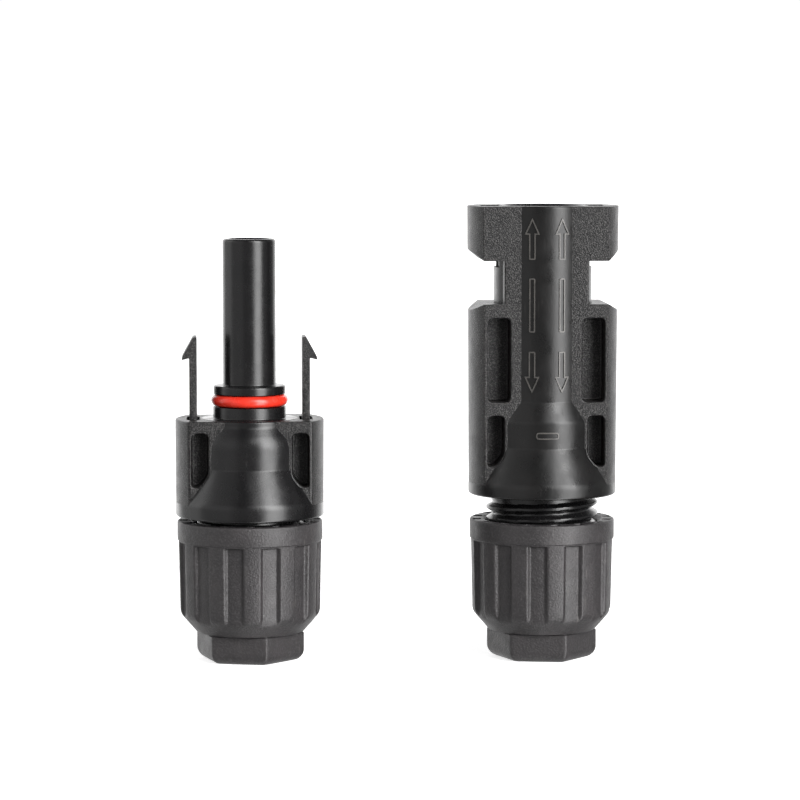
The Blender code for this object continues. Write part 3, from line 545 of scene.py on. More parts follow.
class Shape:
    """A solid in millimetres about one half's axis, built from bmesh operators."""

    def __init__(self) -> None:
        """Starts empty."""
        self.bm = bmesh.new()

    # ------------------------------------------------ ways to start
    @classmethod
    def turned(cls, path: Path, segments: int, closed: bool = False) -> "Shape":
        """A section turned once round Z.

        Args:
            path: Points of (radius, height).
            segments: Sides of the turn.
            closed: Whether the section is a ring of its own, and so keeps off the axis.

        Returns:
            The solid.
        """
        shape = cls()
        verts = [shape.bm.verts.new((p.x, 0, p.y)) for p in path.drawn(closed)]
        edges = [shape.bm.edges.new(pair) for pair in zip(verts, verts[1:])]
        if closed:
            edges.append(shape.bm.edges.new((verts[-1], verts[0])))
        return shape.spun([*verts, *edges], segments)

    @classmethod
    def drum(cls, low: float, high: float, low_radius: float, high_radius: float, segments: int) -> "Shape":
        """A round body between two heights.

        Args:
            low: Height of its foot.
            high: Height of its top.
            low_radius: Radius at its foot.
            high_radius: Radius at its top.
            segments: Its sides.

        Returns:
            The solid.
        """
        shape = cls()
        bmesh.ops.create_cone(
            shape.bm,
            cap_ends=True,
            segments=segments,
            radius1=low_radius,
            radius2=high_radius,
            depth=high - low,
            matrix=Matrix.Translation((0, 0, (low + high) / 2)),
        )
        return shape

    @classmethod
    def box(cls, low: Sequence[float], high: Sequence[float]) -> "Shape":
        """A box between two corners.

        Args:
            low: Its lowest corner.
            high: Its highest corner.

        Returns:
            The solid.
        """
        shape = cls()
        bmesh.ops.create_cube(shape.bm, size=1)
        size = Vector(high) - Vector(low)
        middle = (Vector(high) + Vector(low)) / 2
        bmesh.ops.scale(shape.bm, vec=size, verts=shape.bm.verts)
        bmesh.ops.translate(shape.bm, vec=middle, verts=shape.bm.verts)
        return shape

    @classmethod
    def slab(cls, path: Path, depth: float) -> "Shape":
        """An outline in the XZ plane, pushed out to both sides along Y.

        Args:
            path: Points of (x, z), round the outline.
            depth: The whole thickness along Y.

        Returns:
            The solid.
        """
        shape = cls()
        verts = [shape.bm.verts.new((p.x, -depth / 2, p.y)) for p in path.drawn(True)]
        face = shape.bm.faces.new(verts)
        pushed = bmesh.ops.extrude_face_region(shape.bm, geom=[face])["geom"]
        moved = [v for v in pushed if isinstance(v, bmesh.types.BMVert)]
        bmesh.ops.translate(shape.bm, verts=moved, vec=(0, depth, 0))
        return shape.outwards()

    @classmethod
    def cavity(cls, path: Path, depth: float, lip: float, floor: float) -> "Shape":
        """A cutter for a moulded hollow: it sinks from the XY plane, with a rolled lip and a rounded floor.

        Args:
            path: The wall's outline, points of (x, y).
            depth: How deep it sinks.
            lip: Radius of the rolled lip, by which the opening is wider than the outline.
            floor: Radius between wall and floor.

        Returns:
            The cutter, which also stands a millimetre out of the plane.
        """
        steps = 4
        quarter = [math.pi / 2 * step / steps for step in range(steps + 1)]
        levels = [(-lip, 1.0)]
        levels += [(-lip * (1 - math.sin(a)), 0.01 - lip * (1 - math.cos(a))) for a in quarter]
        levels += [(floor * (1 - math.cos(a)), floor * (1 - math.sin(a)) - depth) for a in quarter]
        shape = cls()
        loops = []
        for inwards, height in levels:
            verts = [shape.bm.verts.new((p.x, p.y, height)) for p in path.shrunk(inwards).drawn(True)]
            loops.append([shape.bm.edges.new(pair) for pair in zip(verts, [*verts[1:], verts[0]])])
        for first, second in zip(loops, loops[1:]):
            bmesh.ops.bridge_loops(shape.bm, edges=[*first, *second])
        bmesh.ops.holes_fill(shape.bm, edges=[*loops[0], *loops[-1]], sides=0)
        return shape.outwards()

    # ------------------------------------------------ changes
    def spun(self, section: Sequence[bmesh.types.BMVert | bmesh.types.BMEdge], segments: int) -> "Shape":
        """Turns a section once round Z: one twelfth by spin, and the rest as its copies.

        Args:
            section: Its points and edges.
            segments: Sides of the turn, a multiple of twelve.

        Returns:
            The same shape.
        """
        bmesh.ops.spin(
            self.bm,
            geom=list(section),
            cent=(0, 0, 0),
            axis=(0, 0, 1),
            dvec=(0, 0, 0),
            angle=TURN / SECTORS,
            steps=segments // SECTORS,
        )
        bmesh.ops.remove_doubles(self.bm, verts=self.bm.verts, dist=WELD)
        sector = [*self.bm.verts, *self.bm.edges, *self.bm.faces]
        for index in range(1, SECTORS):
            copy = bmesh.ops.duplicate(self.bm, geom=sector)["geom"]
            verts = [item for item in copy if isinstance(item, bmesh.types.BMVert)]
            turn = Matrix.Rotation(TURN * index / SECTORS, 3, "Z")
            bmesh.ops.rotate(self.bm, cent=(0, 0, 0), matrix=turn, verts=verts)
        bmesh.ops.remove_doubles(self.bm, verts=self.bm.verts, dist=WELD)
        return self.outwards()

    def outwards(self) -> "Shape":
        """Points the faces outwards."""
        bmesh.ops.recalc_face_normals(self.bm, faces=self.bm.faces)
        return self

    def moved(self, matrix: Matrix) -> "Shape":
        """Moves, turns or mirrors the solid.

        Args:
            matrix: The 4 by 4 transform.

        Returns:
            The same shape.
        """
        bmesh.ops.transform(self.bm, matrix=matrix, verts=self.bm.verts)
        return self.outwards() if matrix.determinant() < 0 else self

    def sliced(self, point: Sequence[float], normal: Sequence[float]) -> "Shape":
        """Cuts off what lies on a plane's outer side, and closes the cut.

        Args:
            point: A point on the plane.
            normal: Its outward direction.

        Returns:
            The same shape.
        """
        geom = [*self.bm.verts, *self.bm.edges, *self.bm.faces]
        cut = bmesh.ops.bisect_plane(
            self.bm, geom=geom, dist=1e-5, plane_co=point, plane_no=normal, clear_outer=True
        )
        rim = [e for e in cut["geom_cut"] if isinstance(e, bmesh.types.BMEdge)]
        bmesh.ops.edgeloop_fill(self.bm, edges=rim)
        return self.outwards()

    def rows(self, heights: Iterable[float]) -> "Shape":
        """Adds rows of points at some heights, for a piece that bends.

        Args:
            heights: Where the rows lie.

        Returns:
            The same shape.
        """
        for height in heights:
            geom = [*self.bm.verts, *self.bm.edges, *self.bm.faces]
            bmesh.ops.bisect_plane(self.bm, geom=geom, dist=1e-5, plane_co=(0, 0, height), plane_no=(0, 0, 1))
        return self

    def eased(self, width: float, segments: int = 3, angle: float = 25.0, above: float = -1.0) -> "Shape":
        """Rounds every edge sharper than an angle.

        Args:
            width: Width of the rounding on each face.
            segments: Steps in it.
            angle: The least angle between two faces, in degrees.
            above: The height below which edges are left, because another solid hides them.

        Returns:
            The same shape.
        """
        sharp = [
            edge
            for edge in self.bm.edges
            if edge.calc_face_angle(0) > math.radians(angle) and max(v.co.z for v in edge.verts) > above
        ]
        bmesh.ops.bevel(
            self.bm,
            geom=sharp,
            offset=width,
            affect="EDGES",
            segments=segments,
            profile=0.5,
            material=-1,
            clamp_overlap=True,
        )
        return self

    def reshaped(self, rule: Callable[[float, float, float], tuple[float, float]]) -> "Shape":
        """Moves each point to a new radius and height on its own bearing.

        Args:
            rule: From (bearing, radius, height) to the new (radius, height).

        Returns:
            The same shape.
        """
        for vert in self.bm.verts:
            bearing = math.atan2(vert.co.y, vert.co.x)
            radius, height = rule(bearing, math.hypot(vert.co.x, vert.co.y), vert.co.z)
            vert.co = (radius * math.cos(bearing), radius * math.sin(bearing), height)
        return self

    def dressed(self, slot: int) -> "Shape":
        """Gives every face one material slot."""
        for face in self.bm.faces:
            face.material_index = slot
        return self

    def with_shapes(self, *others: "Shape") -> "Shape":
        """Takes in other solids that keep clear of this one.

        Args:
            others: The solids.

        Returns:
            The same shape.
        """
        for other in others:
            mesh = bpy.data.meshes.new("other")
            other.bm.to_mesh(mesh)
            self.bm.from_mesh(mesh)
            bpy.data.meshes.remove(mesh)
        return self

    def combined(self, other: "Shape", operation: str) -> "Shape":
        """Joins another solid to this one, cuts it away, or keeps what they share.

        Args:
            other: The other solid.
            operation: UNION, DIFFERENCE or INTERSECT.

        Returns:
            The same shape.
        """
        pair = [shape.as_object(name) for shape, name in ((self, "kept"), (other, "tool"))]
        modifier = pair[0].modifiers.new("combine", "BOOLEAN")
        modifier.operation = operation
        modifier.object = pair[1]
        modifier.solver = "EXACT"
        modifier.material_mode = "INDEX"
        bpy.context.view_layer.update()
        graph = bpy.context.evaluated_depsgraph_get()
        mesh = bpy.data.meshes.new_from_object(pair[0].evaluated_get(graph))
        self.bm.clear()
        self.bm.from_mesh(mesh)
        bpy.data.meshes.remove(mesh)
        for obj in pair:
            spent = obj.data
            bpy.data.objects.remove(obj, do_unlink=True)
            bpy.data.meshes.remove(spent)
        bmesh.ops.dissolve_degenerate(self.bm, dist=1e-5, edges=self.bm.edges)
        bmesh.ops.remove_doubles(self.bm, verts=self.bm.verts, dist=1e-3)
        return self

    def as_object(self, name: str) -> bpy.types.Object:
        """The shape as an object with both housing plastics in its slots, for a Boolean to read."""
        mesh = bpy.data.meshes.new(name)
        self.bm.to_mesh(mesh)
        for finish in (SPARKED_PLASTIC, POLISHED_PLASTIC):
            mesh.materials.append(finish.build())
        obj = bpy.data.objects.new(name, mesh)
        bpy.context.scene.collection.objects.link(obj)
        return obj


@dataclass
class Half:
    """One half of the pair: where its axis stands, and the bodies that its pieces ride on."""

    word: str
    foot: float
    top: float
    nut_turn: float
    made: list[str] = field(default_factory=list)

    @property
    def axis(self) -> float:
        """The half's axis along X, in metres, from its CAD contact."""
        low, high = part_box(f"{self.word}_contact")
        return (low.x + high.x) / 2

    def place(
        self,
        shape: Shape,
        name: str,
        body: str,
        slot: str,
        finishes: Sequence[Finish],
        node: str = "",
        turn: float = 0.0,
        sharp: float = 32.0,
    ) -> bpy.types.Object:
        """Turns a shape into a finished piece on this half's axis.

        Args:
            shape: The solid, in millimetres about the axis.
            name: The piece's name.
            body: The CAD body it rides on, or nothing where it bends between two.
            slot: The record's material slot; it is not used.
            finishes: Its finishes, in the order of its material slots.
            node: The CAD node it stands for, if any.
            turn: Its turn about the axis, in radians.
            sharp: Edges sharper than this many degrees stay crisp.

        Returns:
            The piece.
        """
        mesh = bpy.data.meshes.new(name)
        shape.bm.to_mesh(mesh)
        shape.bm.free()
        place = Matrix.Translation((self.axis, 0, 0)) @ Matrix.Rotation(turn, 4, "Z")
        mesh.transform(place @ Matrix.Scale(MM, 4))
        for finish in finishes:
            mesh.materials.append(finish.build())
        mesh.shade_smooth()
        mesh.set_sharp_from_angle(angle=math.radians(sharp))
        obj = bpy.data.objects.new(name, mesh)
        bpy.context.scene.collection.objects.link(obj)
        weighted = obj.modifiers.new("weighted normals", "WEIGHTED_NORMAL")
        weighted.keep_sharp = True
        if body:
            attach(obj, body)
        if node:
            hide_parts(node)
        self.made.append(name)
        mesh.calc_loop_triangles()
        LOG.info("%s: %d triangles on %s", name, len(mesh.loop_triangles), body or "two bodies")
        return obj


# ---------------------------------------------------------------- thread that both halves share
@dataclass(frozen=True)
class Thread:
    """The gland's right-hand screw thread."""

    pitch: float = 1.5
    crest: float = 7.32
    root: float = 6.55
    crest_flat: float = 0.35
    flank: float = math.radians(30)
    clearance: float = 0.15
    side_clearance: float = 0.12
    start: float = 12.6
    turns: int = 3
    bore: float = 7.47

    def outer(self, bearing: float, height: float, nut_turn: float, low: float, high: float) -> float:
        """Radius of the spigot's thread at a place.

        Args:
            bearing: Angle round the axis.
            height: Height above the table.
            nut_turn: The nut's turn, to which the thread is matched.
            low: Where the thread starts.
            high: Where it runs out.

        Returns:
            The radius.
        """
        turns = (height - self.start) / self.pitch - (bearing - nut_turn) / TURN - 0.5
        away = abs(to_nearest(turns, 1.0)) * self.pitch
        rise = self.crest - (away - self.crest_flat / 2) / math.tan(self.flank)
        radius = min(self.crest, max(self.root, rise))
        ends = smooth_step(low, low + 0.5, height) * (1 - smooth_step(high - 0.6, high, height))
        return self.root + (radius - self.root) * ends

    def inner(self, bearing: float, height: float) -> float:
        """Radius of the nut's thread at a place in the nut's own frame.

        Args:
            bearing: Angle round the axis from the nut's first corner.
            height: Height above the nut's foot.

        Returns:
            The radius.
        """
        turns = (height - self.start) / self.pitch - bearing / TURN
        away = abs(to_nearest(turns, 1.0)) * self.pitch
        crest = self.root + self.clearance
        depth_at_crest = self.crest - crest
        half = self.pitch / 2 - self.crest_flat / 2 - depth_at_crest * math.tan(self.flank)
        narrow = half - self.side_clearance
        radius = min(self.bore, crest + max(0.0, away - narrow) / math.tan(self.flank))
        end = self.start + self.turns * self.pitch
        entry = smooth_step(self.start - 0.5, self.start + 0.2, height)
        ends = entry * (1 - smooth_step(end - 0.2, end + 0.5, height))
        return self.bore + (radius - self.bore) * ends


THREAD = Thread()


# ---------------------------------------------------------------- housings
@dataclass
class Housing:
    """What both moulded housings share: a turned core with a flat-sided body, cored pockets and slots."""

    half: Half
    flat: float = 5.5
    body_radius: float = 9.7
    head_radius: float = 9.9
    rib_radius: float = 6.4
    swell_radius: float = 7.45
    proud: float = 0.05
    segments: int = 144
    pocket_depth: float = 3.0
    pocket_lip: float = 0.22
    pocket_floor: float = 0.3
    pocket_corner: float = 0.75
    spigot_length: float = 8.5
    spigot_bore: float = 5.55
    spigot_bore_depth: float = 4.8
    chamber: float = 3.3
    throat: float = 2.85
    lock_pocket: float = 3.5
    lock_throat: float = 1.5
    pocket_inner: float = 5.42
    pocket_outer: float = 7.6
    pocket_cut: float = 1.2
    edge: float = 0.22
    mark_line: float = 0.16
    mark_rise: float = 0.14

    def body(self, low: float, high: float, low_radius: float, high_radius: float) -> Shape:
        """A round body with its two flat faces, before its edges are eased.

        Args:
            low: Height of its foot.
            high: Height of its top.
            low_radius: Radius at its foot.
            high_radius: Radius at its top.

        Returns:
            The solid.
        """
        shape = Shape.drum(low, high, low_radius, high_radius, self.segments)
        shape.sliced((0, -self.flat, 0), (0, -1, 0))
        shape.sliced((0, self.flat, 0), (0, 1, 0))
        return shape

    def lock_path(self, path: Path, stop: float) -> Path:
        """Carries a bore's section on past the contact's stop and out through the foot.

        Args:
            path: The bore's section so far.
            stop: Height of the contact's stop.

        Returns:
            The path, ended on the axis.
        """
        throat_top = stop - self.lock_pocket
        throat_foot = throat_top - self.lock_throat
        path.to(self.chamber, stop, 0.15).to(self.chamber, throat_top, 0.2)
        path.to(self.throat, throat_top, 0.15).to(self.throat, throat_foot, 0.15)
        path.to(self.chamber, throat_foot, 0.2).to(self.chamber, self.half.foot - PAST)
        return path.to(0, self.half.foot - PAST)

    def pockets(
        self, inner: float, outer: float, bottom: float, top: float, cut_corner: float
    ) -> list[Shape]:
        """The four cutters of one cored pocket, left and right in the front and back faces.

        Args:
            inner: Its side nearer the axis.
            outer: Its side nearer the rounded edge.
            bottom: Its lowest edge.
            top: Its highest edge.
            cut_corner: How much of the lower inner corner the cone takes off.

        Returns:
            The four cutters.
        """
        turn = self.pocket_corner
        cutters = []
        for side in (-1, 1):
            for front in (-1, 1):
                path = Path()
                if cut_corner:
                    path.to(inner, bottom + cut_corner * 1.25, turn).to(inner + cut_corner, bottom, turn)
                else:
                    path.to(inner, bottom, turn)
                path.to(outer, bottom, turn).to(outer, top, turn).to(inner, top, turn)
                cutter = Shape.cavity(path, self.pocket_depth, self.pocket_lip, self.pocket_floor)
                upright = Matrix.Rotation(math.pi / 2, 4, "X")
                sides = Matrix.Diagonal((side, -front, 1, 1))
                cutters.append(cutter.moved(sides @ Matrix.Translation((0, -self.flat, 0)) @ upright))
        return cutters

    def raised_mark(self, path: Path, radius: float) -> Shape:
        """A thin raised outline that follows a round surface on the front.

        Args:
            path: Points of (x, z) round its outside.
            radius: Radius of the surface that it stands on.

        Returns:
            The closed solid of the line.
        """
        shape = Shape()
        edges = []
        for outline in (path, path.shrunk(self.mark_line)):
            verts = [shape.bm.verts.new((p.x, 0, p.y)) for p in outline.drawn(True, 3)]
            edges += [shape.bm.edges.new(pair) for pair in zip(verts, [*verts[1:], verts[0]])]
        bmesh.ops.bridge_loops(shape.bm, edges=edges)
        long = [e for e in shape.bm.edges if e.calc_length() > 0.5]
        bmesh.ops.subdivide_edges(shape.bm, edges=long, cuts=4)
        ring = list(shape.bm.faces)
        pushed = bmesh.ops.extrude_face_region(shape.bm, geom=ring)["geom"]
        back = {v for v in pushed if isinstance(v, bmesh.types.BMVert)}
        for vert in shape.bm.verts:
            surface = radius - 0.3 if vert in back else radius + self.mark_rise
            vert.co.y = -math.sqrt(surface**2 - vert.co.x**2)
        return shape.outwards()

    def arrow(self, centre: float, base: float, tip: float, width: float) -> Path:
        """A plain arrow's outline.

        Args:
            centre: Its middle line.
            base: Height of its tail.
            tip: Height of its point.
            width: Width of its head.

        Returns:
            The outline.
        """
        neck = base + (tip - base) * 0.6
        head, stem = width / 2, width / 4.6
        path = Path().to(centre - stem, base, 0.12).to(centre - stem, neck).to(centre - head, neck, 0.06)
        path.to(centre, tip, 0.12).to(centre + head, neck, 0.06).to(centre + stem, neck)
        return path.to(centre + stem, base, 0.12)

    def bar(self, centre: float, low: float, high: float, width: float, turn: float) -> Path:
        """A plain bar's outline with rounded corners.

        Args:
            centre: Its middle line.
            low: Its lowest edge.
            high: Its highest edge.
            width: Its width.
            turn: How far back its corners are rounded.

        Returns:
            The outline.
        """
        left, right = centre - width / 2, centre + width / 2
        return Path().to(left, low, turn).to(right, low, turn).to(right, high, turn).to(left, high, turn)

    def both_faces(self, marks: Sequence[Shape]) -> Shape:
        """Marks on the front, with the same marks turned round to the back.

        Args:
            marks: The front's marks.

        Returns:
            All of them in one shape.
        """
        whole = Shape().with_shapes(*marks)
        back = Shape().with_shapes(*marks).moved(Matrix.Rotation(math.pi, 4, "Z"))
        return whole.with_shapes(back)

    def spigot(self, bore_top: float) -> Shape:
        """The threaded spigot under the housing, as a tube whose top is sunk in the housing's foot.

        Args:
            bore_top: Height where its wide bore ends.

        Returns:
            The solid.
        """
        foot, end = self.half.foot, self.half.foot - self.spigot_length
        root = THREAD.root
        path = Path().to(self.chamber + 0.02, foot + 0.6).to(root - 0.5, foot + 0.6).to(root, foot + 0.1)
        path.to(root, end + 0.4, 0.15, 82).to(root - 0.25, end, 0.1).to(self.spigot_bore, end, 0.12)
        path.to(self.spigot_bore, bore_top, 0.2, 2).to(self.chamber + 0.02, bore_top + 1, 0.2)
        low, high = end + 0.45, foot - 0.5

        def cut_thread(bearing: float, radius: float, height: float) -> tuple[float, float]:
            """Where a point of the plain tube moves to as its thread is cut.

            Args:
                bearing: Angle round the axis.
                radius: The tube's radius.
                height: Height above the table.

            Returns:
                The new radius and the same height.
            """
            if radius < root - 0.01 or not low < height < high:
                return radius, height
            return THREAD.outer(bearing, height, self.half.nut_turn, low, high), height

        return Shape.turned(path, 144, closed=True).reshaped(cut_thread)


@dataclass
class PinHousing(Housing):
    """The sleeve half's housing: head with finger slots, side notches, ribbed flats, neck and foot band."""

    band_top: float = 23.3
    cone_top: float = 28.1
    swell_top: float = 31.5
    shoulder_top: float = 34.1
    head_height: float = 7.1
    notch_height: float = 5.6
    notch_inner: float = 5.5
    slot_inner: float = 5.65
    slot_outer: float = 8.1
    slot_half: float = 2.45
    mouth_radius: float = 4.92
    mouth_depth: float = 5.2
    bore: float = 3.72
    bore_floor: float = 35.6
    stop: float = 32.9
    rib_pocket_inner: float = 4.67
    pocket_rise: float = 2.4
    cross_bar: float = 1.8
    mark_centre: float = 1.95
    arrow_width: float = 1.9
    upper_arrow: tuple[float, float] = (52.6, 58.0)
    lower_arrow: tuple[float, float] = (40.7, 35.3)
    bar_span: tuple[float, float] = (43.2, 50.2)

    def core(self) -> Shape:
        """The turned sleeve, shoulder, swelling, cone and foot band."""
        top, foot = self.half.top, self.half.foot
        path = Path().to(0, top).to(self.rib_radius, top, 0.3).to(self.rib_radius, self.shoulder_top, 0.12)
        path.to(self.swell_radius, self.swell_top, 0.3).to(self.swell_radius, self.cone_top, 0.12)
        path.to(self.body_radius, self.band_top, 0.5).to(self.body_radius, foot, 0.4).to(0, foot)
        return Shape.turned(path, self.segments).dressed(1)

    def flat_body(self) -> Shape:
        """Lower body, web and head, with the side notches between them."""
        top = self.half.top - self.proud
        notch_top = self.half.top - self.head_height
        notch_bottom = notch_top - self.notch_height
        low = self.band_top - 0.8
        lower = self.body(low, notch_bottom, self.body_radius - self.proud, self.head_radius - 0.12)
        head = self.body(notch_top, top, self.head_radius - 0.05, self.head_radius)
        for side in (-1, 1):
            lower.sliced((side * self.slot_outer, 0, notch_bottom), (side * 1.0, 0, 1.7))
            head.sliced((side * self.slot_outer, 0, notch_top), (side * 1.25, 0, -1.6))
        lower.eased(self.edge, above=low + 0.1)
        head.eased(self.edge)
        web = Shape.box(
            (-self.notch_inner, -self.flat + 0.01, notch_bottom - PAST),
            (self.notch_inner, self.flat - 0.01, notch_top + PAST),
        ).eased(self.edge)
        return lower.combined(web, "UNION").combined(head, "UNION").dressed(0)

    def hollows(self) -> Shape:
        """Everything that is cored out of the housing, as one cutter."""
        top = self.half.top
        step = top - self.mouth_depth
        lead = self.mouth_radius + 0.5
        path = Path().to(0, top + PAST).to(lead, top + PAST).to(lead, top + 0.01, 0.02)
        path.to(self.mouth_radius, top - 0.5, 0.35).to(self.mouth_radius, step, 0.3)
        path.to(self.bore, step - 0.6, 0.3).to(self.bore, self.bore_floor, 0.3)
        path.to(2.25, self.bore_floor, 0.2).to(2.25, self.stop, 0.1)
        cutter = Shape.turned(self.lock_path(path, self.stop), 96).dressed(1)
        for side in (-1, 1):
            left, right = sorted((side * self.slot_inner, side * self.slot_outer))
            outline = Path().to(left, -self.slot_half, 0.3).to(right, -self.slot_half, 0.3)
            outline.to(right, self.slot_half, 0.3).to(left, self.slot_half, 0.3)
            slot = Shape.cavity(outline, self.head_height + 0.9, 0.18, 0.02)
            cutter.with_shapes(slot.moved(Matrix.Translation((0, 0, top - self.proud))))
        rows = (
            (
                self.rib_pocket_inner,
                self.shoulder_top,
                top - self.head_height - self.notch_height - self.cross_bar,
                0.0,
            ),
            (
                self.pocket_inner,
                self.band_top + self.pocket_rise,
                self.shoulder_top - self.cross_bar,
                self.pocket_cut,
            ),
        )
        for inner, low, high, cut in rows:
            cutter.with_shapes(*self.pockets(inner, self.pocket_outer, low, high, cut))
        return cutter

    def marks(self) -> Shape:
        """Raised arrows and bars on the rib, and a small rounded bar on the swelling."""
        front = []
        for centre in (-self.mark_centre, self.mark_centre):
            for outline in (
                self.arrow(centre, *self.upper_arrow, self.arrow_width),
                self.arrow(centre, *self.lower_arrow, self.arrow_width),
                self.bar(centre, *self.bar_span, 0.75, 0.2),
            ):
                front.append(self.raised_mark(outline, self.rib_radius))
        front.append(self.raised_mark(self.bar(0.0, 29.4, 30.3, 3.0, 0.4), self.swell_radius))
        return self.both_faces(front)

    def build(self) -> None:
        """Places the housing, its marks and its spigot."""
        shape = self.core().combined(self.flat_body(), "UNION").combined(self.hollows(), "DIFFERENCE")
        finishes = (SPARKED_PLASTIC, STONED_PLASTIC)
        self.half.place(
            shape, "pin_housing_body", "pin_half", "housing_black", finishes, "pin_housing", sharp=28.0
        )
        marks = self.marks()
        # The marks' pale colour is a painted highlight on their raised edges.
        self.half.place(marks, "pin_housing_marks", "pin_half", "housing_black", [MARKS_PAINTED_HIGHLIGHT])
        bore_top = self.half.foot - self.spigot_length + self.spigot_bore_depth
        spigot = self.spigot(bore_top)
        name = "pin_threaded_spigot"
        self.half.place(spigot, name, "pin_half", "housing_black", [POLISHED_PLASTIC], sharp=40.0)


@dataclass
class SocketHousing(Housing):
    """The nosed half's housing: nose, sealing neck, flat shoulder with latch seats, and foot band."""

    band_top: float = 20.9
    cone_top: float = 25.5
    swell_top: float = 29.0
    shoulder_top: float = 31.0
    nose: float = 3.46
    nose_tip: float = 55.2
    nose_inner: float = 2.66
    mouth: float = 2.15
    neck: float = 4.77
    neck_lip: float = 4.71
    neck_height: float = 4.3
    groove: float = 3.46
    ring_height: float = 2.35
    groove_half: float = 0.81
    stop: float = 30.2
    pocket_rise: float = 2.3
    top_bar: float = 1.6
    seat_inner: float = 6.55
    seat_outer: float = 8.15
    seat_half: float = 2.5
    seat_depth: float = 1.1

    def core(self) -> Shape:
        """The turned nose, neck, hub, shoulder, swelling, cone and foot band."""
        top, foot = self.half.top, self.half.foot
        ring = top + self.ring_height
        path = Path().to(0, self.nose_tip).to(self.nose, self.nose_tip, 0.45)
        path.to(self.nose, top + self.neck_height, 0.25).to(self.neck_lip, top + self.neck_height, 0.3)
        path.to(self.neck_lip, ring + self.groove_half, 0.12).to(self.groove, ring + self.groove_half, 0.15)
        path.to(self.groove, ring - self.groove_half, 0.15).to(self.neck, ring - self.groove_half, 0.12)
        path.to(self.neck, top, 0.2).to(self.rib_radius, top, 0.3).to(self.rib_radius, self.shoulder_top, 0.3)
        path.to(self.swell_radius, self.swell_top, 1.1).to(self.swell_radius, self.cone_top, 0.12)
        path.to(self.body_radius, self.band_top, 0.5).to(self.body_radius, foot, 0.4).to(0, foot)
        return Shape.turned(path, self.segments).dressed(1)

    def flat_body(self) -> Shape:
        """The flat-sided body between the band and the shoulder."""
        top = self.half.top - self.proud
        low = self.band_top - 0.95
        body = self.body(low, top, self.body_radius - self.proud, self.body_radius)
        return body.eased(self.edge, above=low + 0.1).dressed(0)

    def hollows(self) -> Shape:
        """Bore, latch seats and pockets, as one cutter."""
        top, tip = self.half.top, self.nose_tip
        lead = self.mouth + 0.6
        path = Path().to(0, tip + PAST).to(lead, tip + PAST).to(lead, tip + 0.01, 0.02)
        path.to(self.mouth, tip - 0.5, 0.2).to(self.mouth, tip - 0.9).to(self.nose_inner, tip - 0.9)
        path.to(self.nose_inner, self.stop, 0.1)
        cutter = Shape.turned(self.lock_path(path, self.stop), 96).dressed(1)
        for side in (-1, 1):
            left, right = sorted((side * self.seat_inner, side * self.seat_outer))
            outline = Path().to(left, -self.seat_half, 0.2).to(right, -self.seat_half, 0.2)
            outline.to(right, self.seat_half, 0.2).to(left, self.seat_half, 0.2)
            seat = Shape.cavity(outline, self.seat_depth, 0.12, 0.15)
            cutter.with_shapes(seat.moved(Matrix.Translation((0, 0, top - self.proud))))
        low, high = self.band_top + self.pocket_rise, top - self.top_bar
        cutter.with_shapes(
            *self.pockets(self.pocket_inner, self.pocket_outer, low, high, self.pocket_cut)
        )
        return cutter

    def build(self) -> None:
        """Places the housing and its spigot."""
        shape = self.core().combined(self.flat_body(), "UNION").combined(self.hollows(), "DIFFERENCE")
        finishes = (SPARKED_PLASTIC, POLISHED_PLASTIC)
        node = "socket_housing"
        self.half.place(
            shape, "socket_housing_body", "socket_half", "housing_black", finishes, node, sharp=28.0
        )
        bore_top = self.half.foot - self.spigot_length + self.spigot_bore_depth
        spigot = self.spigot(bore_top)
        name = "socket_threaded_spigot"
        self.half.place(spigot, name, "socket_half", "housing_black", [POLISHED_PLASTIC], sharp=40.0)


# ---------------------------------------------------------------- latches and sealing ring
class Side(Enum):
    """The two sides of the socket half."""

    LEFT = -1
    RIGHT = 1


@dataclass
class Latches:
    """The two snap latches that stand on the socket half's shoulder."""

    half: Half
    inner: float = 6.85
    thickness: float = 1.0
    width: float = 4.4
    root: float = 0.8
    pivot: float = 0.3
    barb: float = 7.7
    barb_height: float = 3.0
    overhang: float = 0.95
    undercut: float = 0.25
    bend: float = 3.2
    row_step: float = 0.35
    row_count: int = 12

    def arm(self, side: Side) -> Shape:
        """One latch: a thin arm with a filleted root and an outward barb with a sloped lead.

        Args:
            side: Which side of the socket half it stands on.

        Returns:
            The solid, in place.
        """
        top = self.half.top
        barb, apex = top + self.barb, top + self.barb + self.barb_height
        out = self.thickness
        path = Path().to(0, top - self.root).to(out, top - self.root)
        path.to(out, barb + self.undercut, 0.15).to(out + self.overhang, barb, 0.1)
        path.to(out + self.overhang, barb + self.undercut * 1.4, 0.2).to(out * 0.5, apex, 0.25)
        path.to(0, apex, 0.3)
        shape = Shape.slab(path, self.width).eased(0.12, 3, 30.0)
        shape.rows(top - 0.2 + step * self.row_step for step in range(self.row_count))
        return shape.moved(Matrix.Diagonal((side.value, 1, 1, 1)) @ Matrix.Translation((self.inner, 0, 0)))

    def build(self) -> None:
        """Places both latches, on no single body, with their places baked into their points."""
        for side in Side:
            word = side.name.lower()
            name = f"socket_latch_{word}_arm"
            node = f"socket_latch_{word}"
            piece = self.half.place(self.arm(side), name, "", "housing_black", [SPARKED_PLASTIC], node)
            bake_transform(piece)


